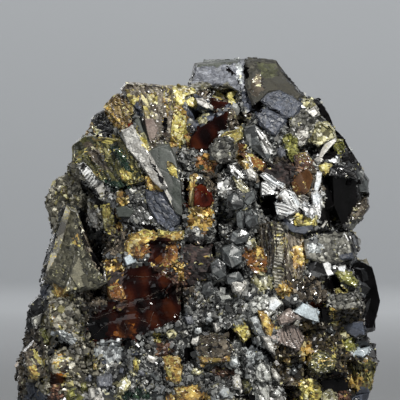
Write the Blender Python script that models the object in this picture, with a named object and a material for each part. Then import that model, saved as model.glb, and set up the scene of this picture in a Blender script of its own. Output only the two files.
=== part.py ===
"""A sphalerite specimen: crystals grown into one mass, cut off flat below.

The specimen's show side faces -Y, +X is to the right of it and +Z is up. Lengths in the lists below
are in millimetres, and the mesh is made in metres.
"""

import math
import random

import bmesh
import bpy
from mathutils import Euler, Vector

MM = 0.001

# Driving dimensions, in mm
HEIGHT = 78.4
FRONT_REACH = 23.0  # from the middle plane to the show side, at the widest level
BACK_REACH = 22.0
CORE_INSET = 4.0  # how far the solid heart lies inside the outer form
ROUNDNESS = 2.4  # exponent of the horizontal sections: 2 is an ellipse, more is boxier

# The outer form seen from the show side: (height, x) down its left and right edges
LEFT_EDGE = (
    (78.4, 2.0), (76.0, -0.9), (72.4, -13.0), (68.4, -17.9), (64.0, -21.5), (59.6, -24.5),
    (54.0, -27.9), (49.0, -30.2), (43.6, -28.4), (37.2, -30.7), (31.6, -31.2), (28.4, -33.6),
    (21.6, -34.5), (13.6, -36.5), (8.0, -35.0), (0.0, -32.5),
)
RIGHT_EDGE = (
    (78.4, 14.0), (74.8, 17.3), (69.8, 24.1), (66.8, 26.1), (62.0, 29.1), (56.0, 32.9),
    (51.0, 34.3), (45.0, 32.1), (40.2, 32.3), (36.0, 35.0), (29.0, 36.5), (22.2, 34.0),
    (17.2, 36.2), (9.6, 33.8), (0.0, 31.0),
)
# How much of the full reach the front and the back have at each height
SWELL = (
    (78.4, 0.16), (74.0, 0.34), (68.0, 0.58), (60.0, 0.78), (48.0, 0.92), (34.0, 1.0),
    (14.0, 1.0), (0.0, 0.92),
)

# Crystals of the show side. Each has a name, how far its face stands proud of the outer form, the
# degrees that the face turns to the right and looks up, and the face's outline as (x, height).
SHOW_FACES = (
    # the top
    ("top_block", 1, -4, 6, ((-0.9, 76.2), (8.7, 76.6), (9.1, 72.2), (4.9, 71.6), (-0.5, 72.4))),
    ("top_right_green", 0.6, 8, 12, ((10, 77.4), (15.2, 76.8), (17, 74.6), (15.5, 72.4), (11, 72))),
    ("top_right_slope", 0.2, 24, 20, ((15.3, 76.2), (17.3, 74.8), (21, 70.8), (18.5, 70.6), (14.5, 73.5))),
    ("neck_column", 1.6, 0, 0, ((8.7, 72.2), (10.9, 72.4), (11.7, 69), (11.3, 66.2), (9.3, 66), (8.5, 69))),
    ("violet_lump_upper", 2, 10, 18,
     ((12.5, 71.2), (16, 71.8), (20.3, 70), (20.5, 67.4), (18, 66.4), (13.5, 67))),
    ("violet_lump_lower", 2.8, -6, 12,
     ((11.9, 67.4), (15, 68), (17, 66.4), (16.5, 64), (13, 63.4), (11.7, 65))),
    ("rough_lump", 2, 16, 6, ((17.7, 68), (20.5, 68.4), (23.1, 66), (22.5, 62), (20, 60.6), (17.9, 63))),
    ("black_shoulder", 0.4, 30, 10,
     ((21.7, 69.4), (24.1, 69.6), (26.2, 66.8), (27.2, 63.8), (26, 62.5), (23, 65.5))),
    ("pale_shoulder", 1.6, 12, 4, ((22.9, 64.6), (25.8, 64.8), (27, 62.5), (25.5, 60.2), (22.9, 60.8))),
    ("green_shoulder", 1.2, 18, 8, ((26.8, 62.4), (29, 62), (30.8, 59), (30.2, 57), (27.5, 58))),
    ("grey_shoulder", 0.6, 22, 0, ((28.5, 59.4), (31.3, 59), (33, 56), (31, 55), (28.6, 56.6))),
    ("lemon_ledge", 1.4, -8, 14, ((-5.5, 72.2), (0.5, 72), (0.8, 69), (-2, 68.2), (-5.5, 69))),
    ("lilac_ledge", 1, 0, 34, ((-0.3, 69.8), (7.4, 68.8), (7.4, 67.2), (-0.5, 68))),
    ("maroon_wedge", 1.2, 8, -10,
     ((-1.5, 64.2), (3, 66.4), (7.1, 68), (7.5, 63.5), (4, 60.5), (-1.5, 59.8))),
    # the etched mass, upper left
    ("etched_prism", 2.8, -10, 4,
     ((-13.9, 72), (-9.5, 72), (-5.1, 61.6), (-7.5, 59.6), (-9.5, 59.4), (-14.5, 69.6))),
    ("etched_prism_right", 2, 10, 6, ((-9.5, 71.8), (-2.3, 71.4), (-1.9, 66), (-2.7, 59.6), (-5.9, 61))),
    ("ochre_block", 1.4, -14, 8, ((-15.5, 71), (-13.5, 71.2), (-12.9, 66), (-15.5, 63.2), (-18.7, 66.4))),
    ("sparkling_block", 1.6, -24, 6, ((-20.6, 66), (-17.1, 66.6), (-16.9, 63.2), (-21.3, 62.8))),
    ("lilac_slab", 3, -16, -4,
     ((-14.9, 64.2), (-11.5, 65.6), (-9.5, 59.6), (-6.9, 53), (-9.5, 54), (-13.5, 58.6))),
    ("green_slab", 2.2, 12, 0,
     ((-9.5, 59.2), (-5.9, 60.4), (-3.1, 53.6), (-3.3, 47.2), (-5.1, 46), (-7.5, 53.2))),
    ("olive_face", 1.8, -12, 8,
     ((-23, 61.8), (-15.5, 61.6), (-13.5, 56.6), (-13.9, 51.2), (-18.5, 50.6), (-23.9, 55.2),
      (-24.3, 59.4))),
    ("emerald_face", 2.2, -4, -8,
     ((-15.5, 59.6), (-9.9, 56.6), (-7.9, 51.6), (-12.5, 50.4), (-17.1, 51.6))),
    ("striped_face", 2.2, 2, -6, ((-13.5, 51.6), (-7.9, 52.4), (-4.3, 46.6), (-5.1, 43.6), (-13.9, 44.4))),
    ("grey_pair", 1.2, -8, -4, ((-19.9, 50), (-13.9, 50.4), (-13.5, 44.4), (-17.5, 43.2), (-19.9, 45.2))),
    ("ladder_face", 0.8, -26, 0, ((-23.5, 56), (-19.9, 56.4), (-18.7, 50.4), (-21.9, 49.6))),
    ("dark_shoulder", 0, -20, 10,
     ((-27.6, 53.8), (-23.9, 55.2), (-22.3, 50.4), (-24.3, 47.2), (-27.9, 47.6), (-29.6, 50.4))),
    ("left_knob", -3, -10, 0, ((-30.2, 50), (-27.5, 50.4), (-26.7, 45.2), (-28.3, 43.8), (-30.2, 47.2))),
    # the left flank
    ("left_triangle", 1.8, -16, 4,
     ((-26.3, 48.2), (-23.9, 44), (-21.5, 38.4), (-18.5, 33.4), (-25.1, 32), (-30.5, 34.2))),
    ("inner_triangle", 3, 6, 14, ((-23.9, 40), (-18.7, 33), (-25.9, 31.6))),
    ("left_rim_upper", -4, -20, 0, ((-30.1, 42.2), (-27.9, 42.4), (-29.1, 37.2), (-30.5, 37.2))),
    ("left_rim_lower", -4, -24, 0, ((-32, 35.8), (-29.9, 36), (-30.3, 32.2), (-31.8, 32.8))),
    # the dark window and its ledge
    ("window_ledge", 3.2, 0, 30, ((-17.1, 43.2), (-13.9, 44.4), (-3.9, 44.8), (-3.1, 42.6), (-14.3, 41.4))),
    ("window_upper", 1.8, -2, -8,
     ((-14.3, 42), (-3.5, 43), (-2.7, 37.2), (-3.9, 31.2), (-9.5, 29.6), (-15.9, 29.2), (-18.7, 36))),
    ("window_lower", 2.4, -4, -2,
     ((-21, 29.2), (-15.9, 29.8), (-9.5, 30.2), (-4.3, 31.2), (-4.3, 26.8), (-7.5, 24), (-12.7, 22.4),
      (-21.3, 21.2), (-21.9, 26))),
    ("window_side", 1.4, 10, 6, ((-2.7, 40.8), (2.5, 40), (3.1, 34.4), (-1.5, 32.8), (-3.1, 36))),
    # the middle
    ("ball_crystal", 2.6, 4, 4,
     ((2.7, 60.4), (4.1, 62.2), (7.1, 62), (7.7, 59.6), (6.1, 57.4), (3.5, 57.8))),
    ("brown_pane", 1.2, -8, -8, ((7.7, 62.2), (10.5, 62.6), (10.7, 59), (8, 58.6))),
    ("orange_patch", 1, 6, 4, ((-0.9, 59.4), (3.3, 59), (3.7, 54.4), (0.5, 53.6), (-1.3, 56))),
    ("red_crystal", 1.8, -6, -6,
     ((-1.5, 54), (1.7, 53.4), (3.5, 51.2), (3.1, 48), (0.1, 47.6), (-1.5, 49.6))),
    ("grey_cushion", 1.4, 0, 12, ((4.1, 54.4), (10, 54.8), (10.5, 50), (7, 49.2), (3.9, 50.8))),
    ("column_block_1", 2.4, 8, -6, ((7.7, 51), (10.9, 50.6), (11.1, 47.8), (8, 47.6))),
    ("column_block_2", 2.6, -14, 8, ((9.1, 47.2), (12.1, 46.8), (12.3, 44), (9.1, 44))),
    ("column_block_3", 3, 10, 2, ((6.5, 43.6), (10.5, 43.8), (10.5, 39.8), (6.9, 39.4))),
    ("column_block_4", 2.8, -10, -8, ((5.5, 39.6), (9.5, 39.4), (9.3, 36), (5.7, 36.2))),
    ("column_block_5", 2.2, 4, 12, ((2.9, 37.2), (5.5, 37), (5.7, 34.6), (3.1, 34.4))),
    ("orange_core", 1.2, 8, 0, ((-1.7, 48), (2.9, 48.4), (3, 42), (0, 40.8), (-2, 43))),
    ("orange_pane", 1.8, 0, 10, ((9.1, 40.2), (13.7, 40), (13.7, 35.6), (10, 35.4))),
    ("lilac_plate", 2.4, 14, 20, ((9.1, 57.2), (11.7, 57.2), (11.5, 54.4), (9.3, 54.6))),
    # right of the middle
    ("dark_slope", 0.6, -12, -14, ((10.9, 62.6), (17.1, 64), (18.9, 57.6), (16.5, 55.2), (12.1, 56.6))),
    ("amber_lump", 2.2, 6, 2,
     ((18.5, 56), (21.5, 57.6), (23.3, 54.6), (22.9, 50.2), (19.9, 49.8), (18.5, 52.6))),
    ("striped_block", 1.2, -8, 6, ((13.1, 55), (18.3, 54.8), (18.3, 50.4), (13.3, 50))),
    ("silver_block", 2.4, 14, 10, ((15.7, 51.6), (20.9, 51.4), (21.1, 46.6), (16.5, 46.2))),
    ("lilac_rim", 2.2, 4, -12, ((17.3, 46.4), (24.1, 47.2), (24.9, 44), (20.5, 42.8), (17.3, 43.6))),
    ("reed_left", 1.6, -18, 0, ((12.1, 44.6), (15.3, 44.8), (15.3, 37.2), (12.3, 37.6))),
    ("reed_middle", 3, 4, 0, ((14.7, 45), (17.3, 45), (17.5, 31.6), (15, 31.2))),
    ("reed_right", 2, 20, 0, ((16.9, 43.6), (21.5, 43.4), (21.9, 36), (20.5, 32), (17, 31.6))),
    ("cream_block", 2, -10, 8, ((10.5, 35.6), (15.1, 35.8), (15.1, 30.8), (11, 31))),
    ("gold_foot", 2.4, 6, 12, ((15.5, 33), (21.5, 32), (21.3, 29.6), (16, 29.6))),
    # the right flank
    ("black_facet", 2.4, 20, 0,
     ((26.7, 54), (29.5, 55.2), (31.7, 53.6), (31.5, 46.6), (29.5, 43.6), (27.1, 45.2))),
    ("blue_edge", 0.2, 34, 0,
     ((30.9, 56.4), (33.1, 55.8), (34.2, 53.2), (33.8, 48.4), (31.9, 47.2), (31.7, 53.6))),
    ("dark_strip", 1.6, 4, 6, ((23.7, 56.6), (26.7, 57.6), (27.1, 48.6), (24.5, 47.2))),
    ("black_slant", 1.2, 14, -20, ((24.9, 47.2), (31, 46.4), (32, 44.8), (30.5, 43.4), (25.5, 43))),
    ("beige_block", 2.4, 10, 8, ((22.1, 43), (29, 43), (30.9, 41.6), (30.5, 37), (26, 36.8), (22.3, 38))),
    ("black_tooth", -1.5, 20, 0, ((30.3, 43.2), (31.7, 42.2), (32.4, 40), (32, 38), (30.5, 37.6))),
    ("black_crystal", 0.4, 16, 4,
     ((30.9, 37.2), (33.1, 37.2), (35, 36), (36.3, 29.6), (36.3, 26.6), (35, 23.6), (32.9, 23),
      (30.9, 27.6))),
    ("grey_plates", 1.8, 8, 14, ((21.5, 37.2), (26.5, 37.4), (26.7, 34), (22, 33.6))),
    ("green_finger", 2.8, 16, 8, ((27.5, 35.8), (29.5, 36), (32.3, 33), (31.5, 31.8), (28.5, 32.4))),
    ("grey_chunk", 2.4, 10, 16, ((25.5, 31.8), (30, 32), (33, 30.2), (32, 27.8), (26, 28))),
    ("brown_beads", 1.8, 0, 8, ((18.9, 34), (25.1, 34.2), (25.7, 30), (19.5, 29.4))),
    ("dark_foot", 1, 12, -12, ((24.5, 28), (32.5, 28.2), (32.9, 23.6), (25, 23.2))),
    # low on the right
    ("white_crystal", 3, -6, 18,
     ((10.5, 30.4), (16.1, 30.6), (16.9, 26), (15.1, 19.4), (12.9, 24), (10.5, 26))),
    ("pink_triangle", 3.2, 0, 16, ((18.3, 28), (16.1, 24.9), (20.5, 24.8))),
    ("blue_triangle", 3, 12, 22, ((21.1, 29), (18.9, 26.8), (24.5, 24.8), (23.4, 27.6))),
    ("zebra_block", 2.6, -6, 0, ((15.5, 24.6), (19.9, 24.6), (19.9, 19.2), (15.9, 19))),
    ("brown_block", 2.2, 8, 0, ((20.1, 24.8), (24.9, 24.6), (24.9, 19), (20.3, 19.2))),
    ("lilac_chunk", 2, 16, 16, ((28.5, 25), (33.5, 24.6), (33.5, 21.8), (29, 21.6))),
    ("blue_pane", 1.4, 20, 24, ((30.7, 20.4), (35.5, 19.8), (36, 17.4), (33, 17), (30.9, 18))),
    ("green_block", 2.2, 10, 2, ((26.3, 22.8), (30.5, 22.4), (30.7, 18.8), (26.5, 18.8))),
    ("olive_dome", 2.4, 6, 10, ((22.1, 19.4), (24.5, 20.2), (27.7, 19.4), (28.3, 15.4), (22.5, 14.6))),
    ("silver_column", 2.4, 0, -4, ((9.9, 18.6), (15.5, 19), (15.9, 8), (10.3, 7.4))),
    ("dark_pocket_foot", 0.8, 0, 8, ((15.9, 18.8), (20.5, 19), (20.9, 13.2), (16.3, 13))),
    ("olive_edge", 1, 24, 6, ((31.5, 17.6), (35.4, 17.2), (35.2, 14), (34.2, 11.4), (31.5, 11.4))),
    ("low_right_corner", 0.8, 20, 0, ((29.5, 12.4), (34.4, 11.8), (33.4, 5), (30, 4))),
    ("low_right_block", 1.8, 8, 4, ((20.5, 14.4), (29.7, 14.6), (29.9, 7.2), (21, 6.6))),
    # low in the middle
    ("grey_dome", 2.8, 0, 10, ((0.3, 21), (2.5, 22.8), (5.5, 22.9), (7.3, 21), (6.9, 18.2), (1.1, 17.8))),
    ("grey_triangle", 3, 0, 12, ((6.3, 33.8), (9.3, 33.4), (8.3, 30.8))),
    ("centre_low_1", 1.6, -8, 6, ((-2.4, 32), (3.5, 32.4), (4, 26.6), (-1.5, 25.8))),
    ("centre_low_2", 2, 8, 2, ((4.3, 30.6), (10, 30), (10, 24.4), (4.5, 24.8))),
    ("centre_low_3", 1.6, -4, -6, ((-6, 25.6), (0, 25.6), (0, 21), (-5.5, 20.6))),
    ("red_patch", 2, 2, 4, ((-8, 21.6), (-2.5, 21.4), (-2.7, 17.2), (-7.5, 17))),
    ("gold_patch_left", 2, -4, 2, ((-6.5, 17.6), (1.3, 17.6), (1.7, 8.6), (-6, 8))),
    ("gold_patch_right", 2.2, 4, 6, ((2, 17.6), (9.7, 17.8), (9.9, 8.4), (2.3, 8))),
    # low on the left
    ("beige_upper", 1.6, -14, 10, ((-30.3, 31.6), (-22.5, 32.2), (-21.7, 25), (-29.5, 24))),
    ("beige_edge_upper", 0, -26, 8, ((-33.6, 27.8), (-30, 28.4), (-29.5, 22), (-34, 21.6))),
    ("beige_middle", 2.2, -10, 6, ((-30.3, 23.6), (-21.3, 21.8), (-20.7, 15.6), (-29.9, 15))),
    ("beige_edge_lower", 0.6, -22, 4, ((-35.8, 18.4), (-30, 19.4), (-29.5, 10), (-36.1, 9.8))),
    ("beige_low", 2.4, -8, 4, ((-29.7, 15.8), (-19, 16.2), (-18.7, 7.4), (-29.5, 7))),
    ("granular_low_1", 2.2, -4, 6, ((-20.3, 21), (-13.7, 21.8), (-13.3, 8.6), (-19.5, 8.2))),
    ("granular_low_2", 2.4, 2, 2, ((-13.7, 22), (-8, 22.4), (-6.5, 8.4), (-13.2, 8.2))),
)
FACE_DEPTH = 13.0  # how far a face's crystal reaches back into the heart
GIRDLE_DEPTH = 3.2  # how far behind its face a crystal is widest
GIRDLE_FLARE = 1.5  # how much further out its girdle lies than its face's edge
ROOT_TAPER = 0.8
GIRDLE_SHIFT_X = 0.8  # how far its girdle may stray sideways
GIRDLE_DROP, GIRDLE_RISE = -0.6, 0.9
ROOT_PULL = -0.12  # share of its distance from the middle by which its root leans inward
ROOT_DROP = -1.0
CHIP_SHARE = 0.3  # a chipped corner's depth as a share of half the face's width
CHIP_MOST = 1.6
TURN_WITH_FORM = 0.55  # share of the outer form's own slope that a face takes on
UNEVEN_TURN = 9.0  # degrees that a face may stray from the slant given for it
STEEPEST = 42.0  # degrees

# The top edge seen from the show side: (x, height), from the right to the left
TOP_LINE = (
    (36.5, 50.0), (33.0, 56.5), (29.0, 62.5), (26.0, 67.0), (24.2, 69.8), (17.0, 75.4), (15.5, 77.4),
    (9.0, 78.4), (0.0, 78.2), (-1.5, 72.8), (-14.0, 72.4), (-18.0, 68.6), (-24.0, 60.4), (-30.0, 50.5),
    (-36.5, 44.0),
)

# Crystals of the sides, the back and the gaps between the show faces
# (name, how many, smallest and largest radius, how deep they sit, in radii, and where they go)
SCATTERED = (
    ("back_large", 34, 6.5, 9.5, 0.72, "round the back"),
    ("back_middle", 26, 3.4, 5.2, 0.45, "round the back"),
    ("crown", 7, 2.6, 4.0, 0.75, "on top"),
    ("show_small", 12, 1.9, 2.8, 0.3, "on the show side"),
    ("foot", 26, 4.4, 6.0, 0.55, "round the foot"),
)
SEED = 14
GOLDEN_ANGLE = math.pi * (3 - math.sqrt(5))
MOST_TRIANGLES = 8900
SAME_POINT = 1e-6  # metres
FLAT_WITHIN = 0.4  # degrees between faces that count as one
STEP_X = -1.4  # where the top edge drops from the top block to the left shoulder
SHOULDER_TOP = 72.5
CROWN_DEPTH = 9.0

# Where scattered crystals sit: (lowest and highest level, degrees from +X where the arc starts, and
# degrees that it spans)
PLACES = {
    "on top": (HEIGHT, HEIGHT - CROWN_DEPTH, 0, 360),
    "round the foot": (-0.5, 5.5, 0, 360),
    "round the back": (2.0, 74.0, -14, 208),
    "on the show side": (3.0, 71.0, -166, 152),
}

# The outline seen from the show side, as (x, height), from the foot up the left and down the right
OUTLINE = (
    (-32.0, -8.0), (-34.2, 5.0), (-35.5, 9.6), (-36.7, 13.6), (-36.5, 16.6), (-34.5, 21.6), (-34.3, 24.0),
    (-33.9, 28.4), (-30.9, 30.4), (-31.3, 31.6), (-30.9, 33.2), (-32.3, 34.2), (-32.1, 35.6),
    (-30.7, 37.2), (-30.1, 39.2), (-30.3, 41.2), (-28.3, 43.6), (-29.5, 45.2), (-30.3, 47.6),
    (-29.9, 50.4), (-27.9, 54.0), (-25.7, 55.2), (-25.7, 56.2), (-24.5, 56.8), (-24.3, 60.4),
    (-21.5, 64.0), (-20.3, 66.0), (-18.9, 67.0), (-16.5, 70.2), (-14.1, 72.6), (-1.9, 72.2),
    (-0.9, 76.0), (-0.1, 77.8), (9.5, 77.7), (10.5, 78.4), (12.3, 78.4), (12.9, 77.7), (15.7, 77.3),
    (18.9, 73.0), (21.3, 70.6), (21.9, 69.6), (24.1, 69.7), (26.1, 66.8), (27.3, 63.8), (29.1, 62.0),
    (30.9, 59.0), (34.3, 53.4), (34.3, 50.6), (33.3, 46.6), (30.7, 43.6), (31.9, 42.0), (32.3, 40.2),
    (31.3, 37.9), (34.7, 36.4), (35.7, 33.0), (36.5, 29.2), (36.5, 27.0), (35.5, 23.5), (33.7, 23.3),
    (33.7, 22.2), (35.7, 19.8), (36.3, 17.2), (35.3, 15.8), (34.7, 12.2), (33.7, 9.6), (32.5, 4.0),
    (31.0, -8.0),
)
OUTLINE_REACH = 45.0  # how far the outline's block runs to the front and to the back
GROUND_WIDTH = 160.0
GROUND_DEPTH = 40.0


def along(profile, height):
    """Reads a list of (height, value), from the top down, at one height."""
    if height >= profile[0][0]:
        return profile[0][1]
    for (upper, upper_value), (lower, lower_value) in zip(profile, profile[1:]):
        if height >= lower:
            share = (upper - height) / (upper - lower)
            return upper_value + (lower_value - upper_value) * share
    return profile[-1][1]


def section(height):
    """The outer form at one height: its middle x, half its width, and its front and back reach."""
    left, right = along(LEFT_EDGE, height), along(RIGHT_EDGE, height)
    swell = along(SWELL, height)
    return (left + right) / 2, (right - left) / 2, FRONT_REACH * swell, BACK_REACH * swell


def front_y(x, height):
    """The outer form's y on the show side."""
    middle, half_width, front, _ = section(height)
    across = min(abs(x - middle) / half_width, 1.0)
    return -front * (1 - across**ROUNDNESS) ** (1 / ROUNDNESS)


def rim_point(angle, height, inset=0.0):
    """A point on the outer form at an angle from +X, moved in by an inset."""
    middle, half_width, front, back = section(height)
    cosine, sine = math.cos(angle), math.sin(angle)
    power = 2 / ROUNDNESS
    reach = back if sine > 0 else front
    x = middle + math.copysign(abs(cosine) ** power * max(half_width - inset, 1), cosine)
    y = math.copysign(abs(sine) ** power * max(reach - inset, 1), sine)
    return Vector((x, y, height))


def limit(value, most):
    return max(-most, min(most, value))


def hull(points):
    """The closed convex solid around some points."""
    bm = bmesh.new()
    corners = [bm.verts.new(point) for point in points]
    result = bmesh.ops.convex_hull(bm, input=corners)
    spare = set(result["geom_interior"]) | set(result["geom_unused"])
    spare = [item for item in spare if isinstance(item, bmesh.types.BMVert)]
    bmesh.ops.delete(bm, geom=spare, context="VERTS")
    return bm


def trim(bm, point, normal):
    """Cuts away what lies beyond a plane and closes the cut."""
    everything = bm.verts[:] + bm.edges[:] + bm.faces[:]
    result = bmesh.ops.bisect_plane(
        bm, geom=everything, plane_co=point, plane_no=normal, clear_outer=True
    )
    rim = [item for item in result["geom_cut"] if isinstance(item, bmesh.types.BMEdge)]
    if rim:
        bmesh.ops.contextual_create(bm, geom=rim)


FOREMOST = 6  # corners of a crystal that face the front
CHIP_STRAY = 0.4


def centre_of(bm):
    return sum((vert.co for vert in bm.verts), Vector()) / len(bm.verts)


def chip_corner(bm, rng, depth):
    """Takes a small flat facet off one of the foremost corners."""
    corner = rng.choice(sorted(bm.verts, key=lambda vert: vert.co.y)[:FOREMOST])
    outward = (corner.co - centre_of(bm)).normalized()
    stray = Vector([rng.uniform(-CHIP_STRAY, CHIP_STRAY) for _ in range(3)])
    outward = (outward + stray).normalized()
    trim(bm, corner.co - outward * depth * rng.uniform(0.5, 1.0), outward)


def inside_outline(point):
    """Moves a point in to the outline that the specimen has from its show side."""
    z = min(point.z, along(TOP_LINE, point.x))
    x = max(along(LEFT_EDGE, z), min(along(RIGHT_EDGE, z), point.x))
    return Vector((x, point.y, z))


def show_crystal(face, rng):
    """A crystal whose front face has a given outline, widening behind it and rooted in the heart."""
    _, proud, turn, look_up, outline = face
    middle_x = sum(x for x, _ in outline) / len(outline)
    middle_z = sum(z for _, z in outline) / len(outline)
    slope_x = (front_y(middle_x + 1, middle_z) - front_y(middle_x - 1, middle_z)) / 2
    slope_z = (front_y(middle_x, middle_z + 1) - front_y(middle_x, middle_z - 1)) / 2
    turn += TURN_WITH_FORM * math.degrees(math.atan(slope_x)) + rng.uniform(-UNEVEN_TURN, UNEVEN_TURN)
    look_up += TURN_WITH_FORM * math.degrees(math.atan(slope_z)) + rng.uniform(-UNEVEN_TURN, UNEVEN_TURN)
    rise_x = math.tan(math.radians(limit(turn, STEEPEST)))
    rise_z = math.tan(math.radians(limit(look_up, STEEPEST)))
    face_y = front_y(middle_x, middle_z) - proud
    half_width = (max(x for x, _ in outline) - min(x for x, _ in outline)) / 2
    half_height = (max(z for _, z in outline) - min(z for _, z in outline)) / 2
    rings = (
        (0.0, 1.0, 1.0, 0.0, 0.0),
        (GIRDLE_DEPTH, 1 + GIRDLE_FLARE / half_width, 1 + GIRDLE_FLARE / half_height,
         rng.uniform(-GIRDLE_SHIFT_X, GIRDLE_SHIFT_X), rng.uniform(GIRDLE_DROP, GIRDLE_RISE)),
        (FACE_DEPTH, ROOT_TAPER, ROOT_TAPER, middle_x * ROOT_PULL, rng.uniform(ROOT_DROP, 0.0)),
    )
    points = []
    for depth, wider, taller, shift_x, shift_z in rings:
        for x, z in outline:
            ring_x, ring_z = (x - middle_x) * wider, (z - middle_z) * taller
            y = face_y + depth + ring_x * rise_x + ring_z * rise_z
            point = Vector((middle_x + ring_x + shift_x, y, middle_z + ring_z + shift_z))
            points.append(inside_outline(point))
    bm = hull(points)
    chip_corner(bm, rng, min(CHIP_MOST, CHIP_SHARE * half_width))
    return bm


TETRAHEDRON = ((1, 1, 1), (1, -1, -1), (-1, 1, -1), (-1, -1, 1))
CUBE = ((1, 0, 0), (-1, 0, 0), (0, 1, 0), (0, -1, 0), (0, 0, 1), (0, 0, -1))
DODECAHEDRON = tuple(
    tuple(sign_1 if axis == first else sign_2 if axis == second else 0 for axis in range(3))
    for first, second in ((0, 1), (0, 2), (1, 2))
    for sign_1 in (1, -1)
    for sign_2 in (1, -1)
)
# The forms that sphalerite grows in: each is a set of faces with their distance from the middle
HABITS = (
    ((TETRAHEDRON, 0.6), (CUBE, 0.84)),
    ((DODECAHEDRON, 0.82),),
    ((CUBE, 0.74), (TETRAHEDRON, 0.88)),
)
BLANK_SIZE = 2.2  # the cube that a habit is cut from, in radii
GROWTH = (0.86, 1.14)  # how unevenly its faces grow
FLATTEST, NARROWEST, TALLEST = 0.8, 0.9, 1.25


def habit_crystal(centre, radius, rng):
    """A crystal in one of the habits, with its faces grown unevenly, turned any way."""
    bm = bmesh.new()
    bmesh.ops.create_cube(bm, size=BLANK_SIZE)
    for normals, distance in rng.choice(HABITS):
        for normal in normals:
            outward = Vector(normal).normalized()
            trim(bm, outward * distance * rng.uniform(*GROWTH), outward)
    turn = Euler([rng.uniform(0, 2 * math.pi) for _ in range(3)]).to_matrix()
    stretch = Vector((1, rng.uniform(FLATTEST, 1.0), rng.uniform(NARROWEST, TALLEST)))
    for vert in bm.verts:
        vert.co = centre + turn @ (vert.co * stretch) * radius
    return bm


def scatter_place(where, number, count):
    """The angle and height of one scattered crystal: an even spiral over its part of the form."""
    share = (number + 0.5) / count
    spiral = (number * GOLDEN_ANGLE) % (2 * math.pi) / (2 * math.pi)
    first, last, start, span = PLACES[where]
    return math.radians(start + span * spiral), first + (last - first) * share


def scattered_crystals(rng):
    for _, count, smallest, largest, depth, where in SCATTERED:
        for number in range(count):
            angle, height = scatter_place(where, number, count)
            radius = rng.uniform(smallest, largest)
            centre = rim_point(angle, height, radius * depth)
            bm = habit_crystal(centre, radius, rng)
            points = [inside_outline(vert.co) for vert in bm.verts]
            for point in points:
                if centre.x < STEP_X:
                    point.z = min(point.z, SHOULDER_TOP)
                elif centre.z > SHOULDER_TOP - 2 * radius:
                    point.x = max(point.x, STEP_X)
            bm.free()
            yield hull(points)


HEART_LEVELS = (-3, 6, 16, 27, 38, 48, 57, 65, 71)
HEART_SIDES = 14
HEART_TWIST = 0.13  # radians from each level to the next


def heart():
    """The solid middle that every crystal is rooted in."""
    bm = bmesh.new()
    rings = []
    for level, height in enumerate(HEART_LEVELS):
        angles = [2 * math.pi * side / HEART_SIDES + HEART_TWIST * level for side in range(HEART_SIDES)]
        points = [rim_point(angle, max(height, 0), CORE_INSET) for angle in angles]
        rings.append([bm.verts.new((point.x, point.y, height)) for point in points])
    for lower, upper in zip(rings, rings[1:]):
        for side in range(HEART_SIDES):
            after = (side + 1) % HEART_SIDES
            bm.faces.new((lower[side], lower[after], upper[after]))
            bm.faces.new((lower[side], upper[after], upper[side]))
    bm.faces.new(rings[0][::-1])
    bm.faces.new(rings[-1])
    return bm


def new_object(name, bm, collection):
    """Turns a bmesh in millimetres into an object in metres."""
    for vert in bm.verts:
        vert.co *= MM
    bmesh.ops.recalc_face_normals(bm, faces=bm.faces[:])
    mesh = bpy.data.meshes.new(name)
    bm.to_mesh(mesh)
    bm.free()
    item = bpy.data.objects.new(name, mesh)
    collection.objects.link(item)
    return item


def outline_block(collection):
    """The outline as a block that runs through from front to back."""
    bm = bmesh.new()
    ends = [[bm.verts.new((x, y, z)) for x, z in OUTLINE] for y in (-OUTLINE_REACH, OUTLINE_REACH)]
    front, back = (bm.faces.new(end) for end in ends)
    back.normal_flip()
    for k in range(len(OUTLINE)):
        bm.faces.new((ends[0][k - 1], ends[0][k], ends[1][k], ends[1][k - 1]))
    bmesh.ops.triangulate(bm, faces=[front, back])
    return new_object("outline", bm, collection)


def ground_block(collection):
    """What lies below the cut that the specimen stands on."""
    bm = bmesh.new()
    bmesh.ops.create_cube(bm, size=1)
    for vert in bm.verts:
        vert.co.x *= GROUND_WIDTH
        vert.co.y *= GROUND_WIDTH
        vert.co.z = (vert.co.z - 0.5) * GROUND_DEPTH
    ground = new_object("ground_cut", bm, collection)
    ground.hide_render = True
    ground.display_type = "WIRE"
    return ground


def shells_of(bm):
    """The faces of a mesh as lists, one for each closed surface."""
    shells = []
    reached_before = set()
    for start in bm.faces:
        if start in reached_before:
            continue
        reached_before.add(start)
        shell = [start]
        for face in shell:
            for edge in face.edges:
                for other in edge.link_faces:
                    if other not in reached_before:
                        reached_before.add(other)
                        shell.append(other)
        shells.append(shell)
    return shells


def keep_outer_shell(bm):
    """Fills the hollows that crystals enclose, by removing every surface but the largest."""
    shells = sorted(shells_of(bm), key=len)
    for shell in shells[:-1]:
        bmesh.ops.delete(bm, geom=shell, context="FACES")


def take_shape(cluster):
    """Applies the cluster's Boolean, fills its hollows and merges its flat faces."""
    evaluated = cluster.evaluated_get(bpy.context.evaluated_depsgraph_get())
    bm = bmesh.new()
    bm.from_mesh(evaluated.to_mesh())
    cluster.modifiers.clear()
    bmesh.ops.remove_doubles(bm, verts=bm.verts[:], dist=SAME_POINT)
    keep_outer_shell(bm)
    flat = math.radians(FLAT_WITHIN)
    bmesh.ops.dissolve_limit(bm, angle_limit=flat, verts=bm.verts[:], edges=bm.edges[:])
    bmesh.ops.triangulate(bm, faces=bm.faces[:])
    bm.to_mesh(cluster.data)
    bm.free()


def grow_together(cluster, crystals):
    """Joins the heart and all crystals in one solid."""
    grow = cluster.modifiers.new("grow together", "BOOLEAN")
    grow.operation = "UNION"
    grow.operand_type = "COLLECTION"
    grow.collection = crystals
    grow.solver = "EXACT"
    take_shape(cluster)


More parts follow.
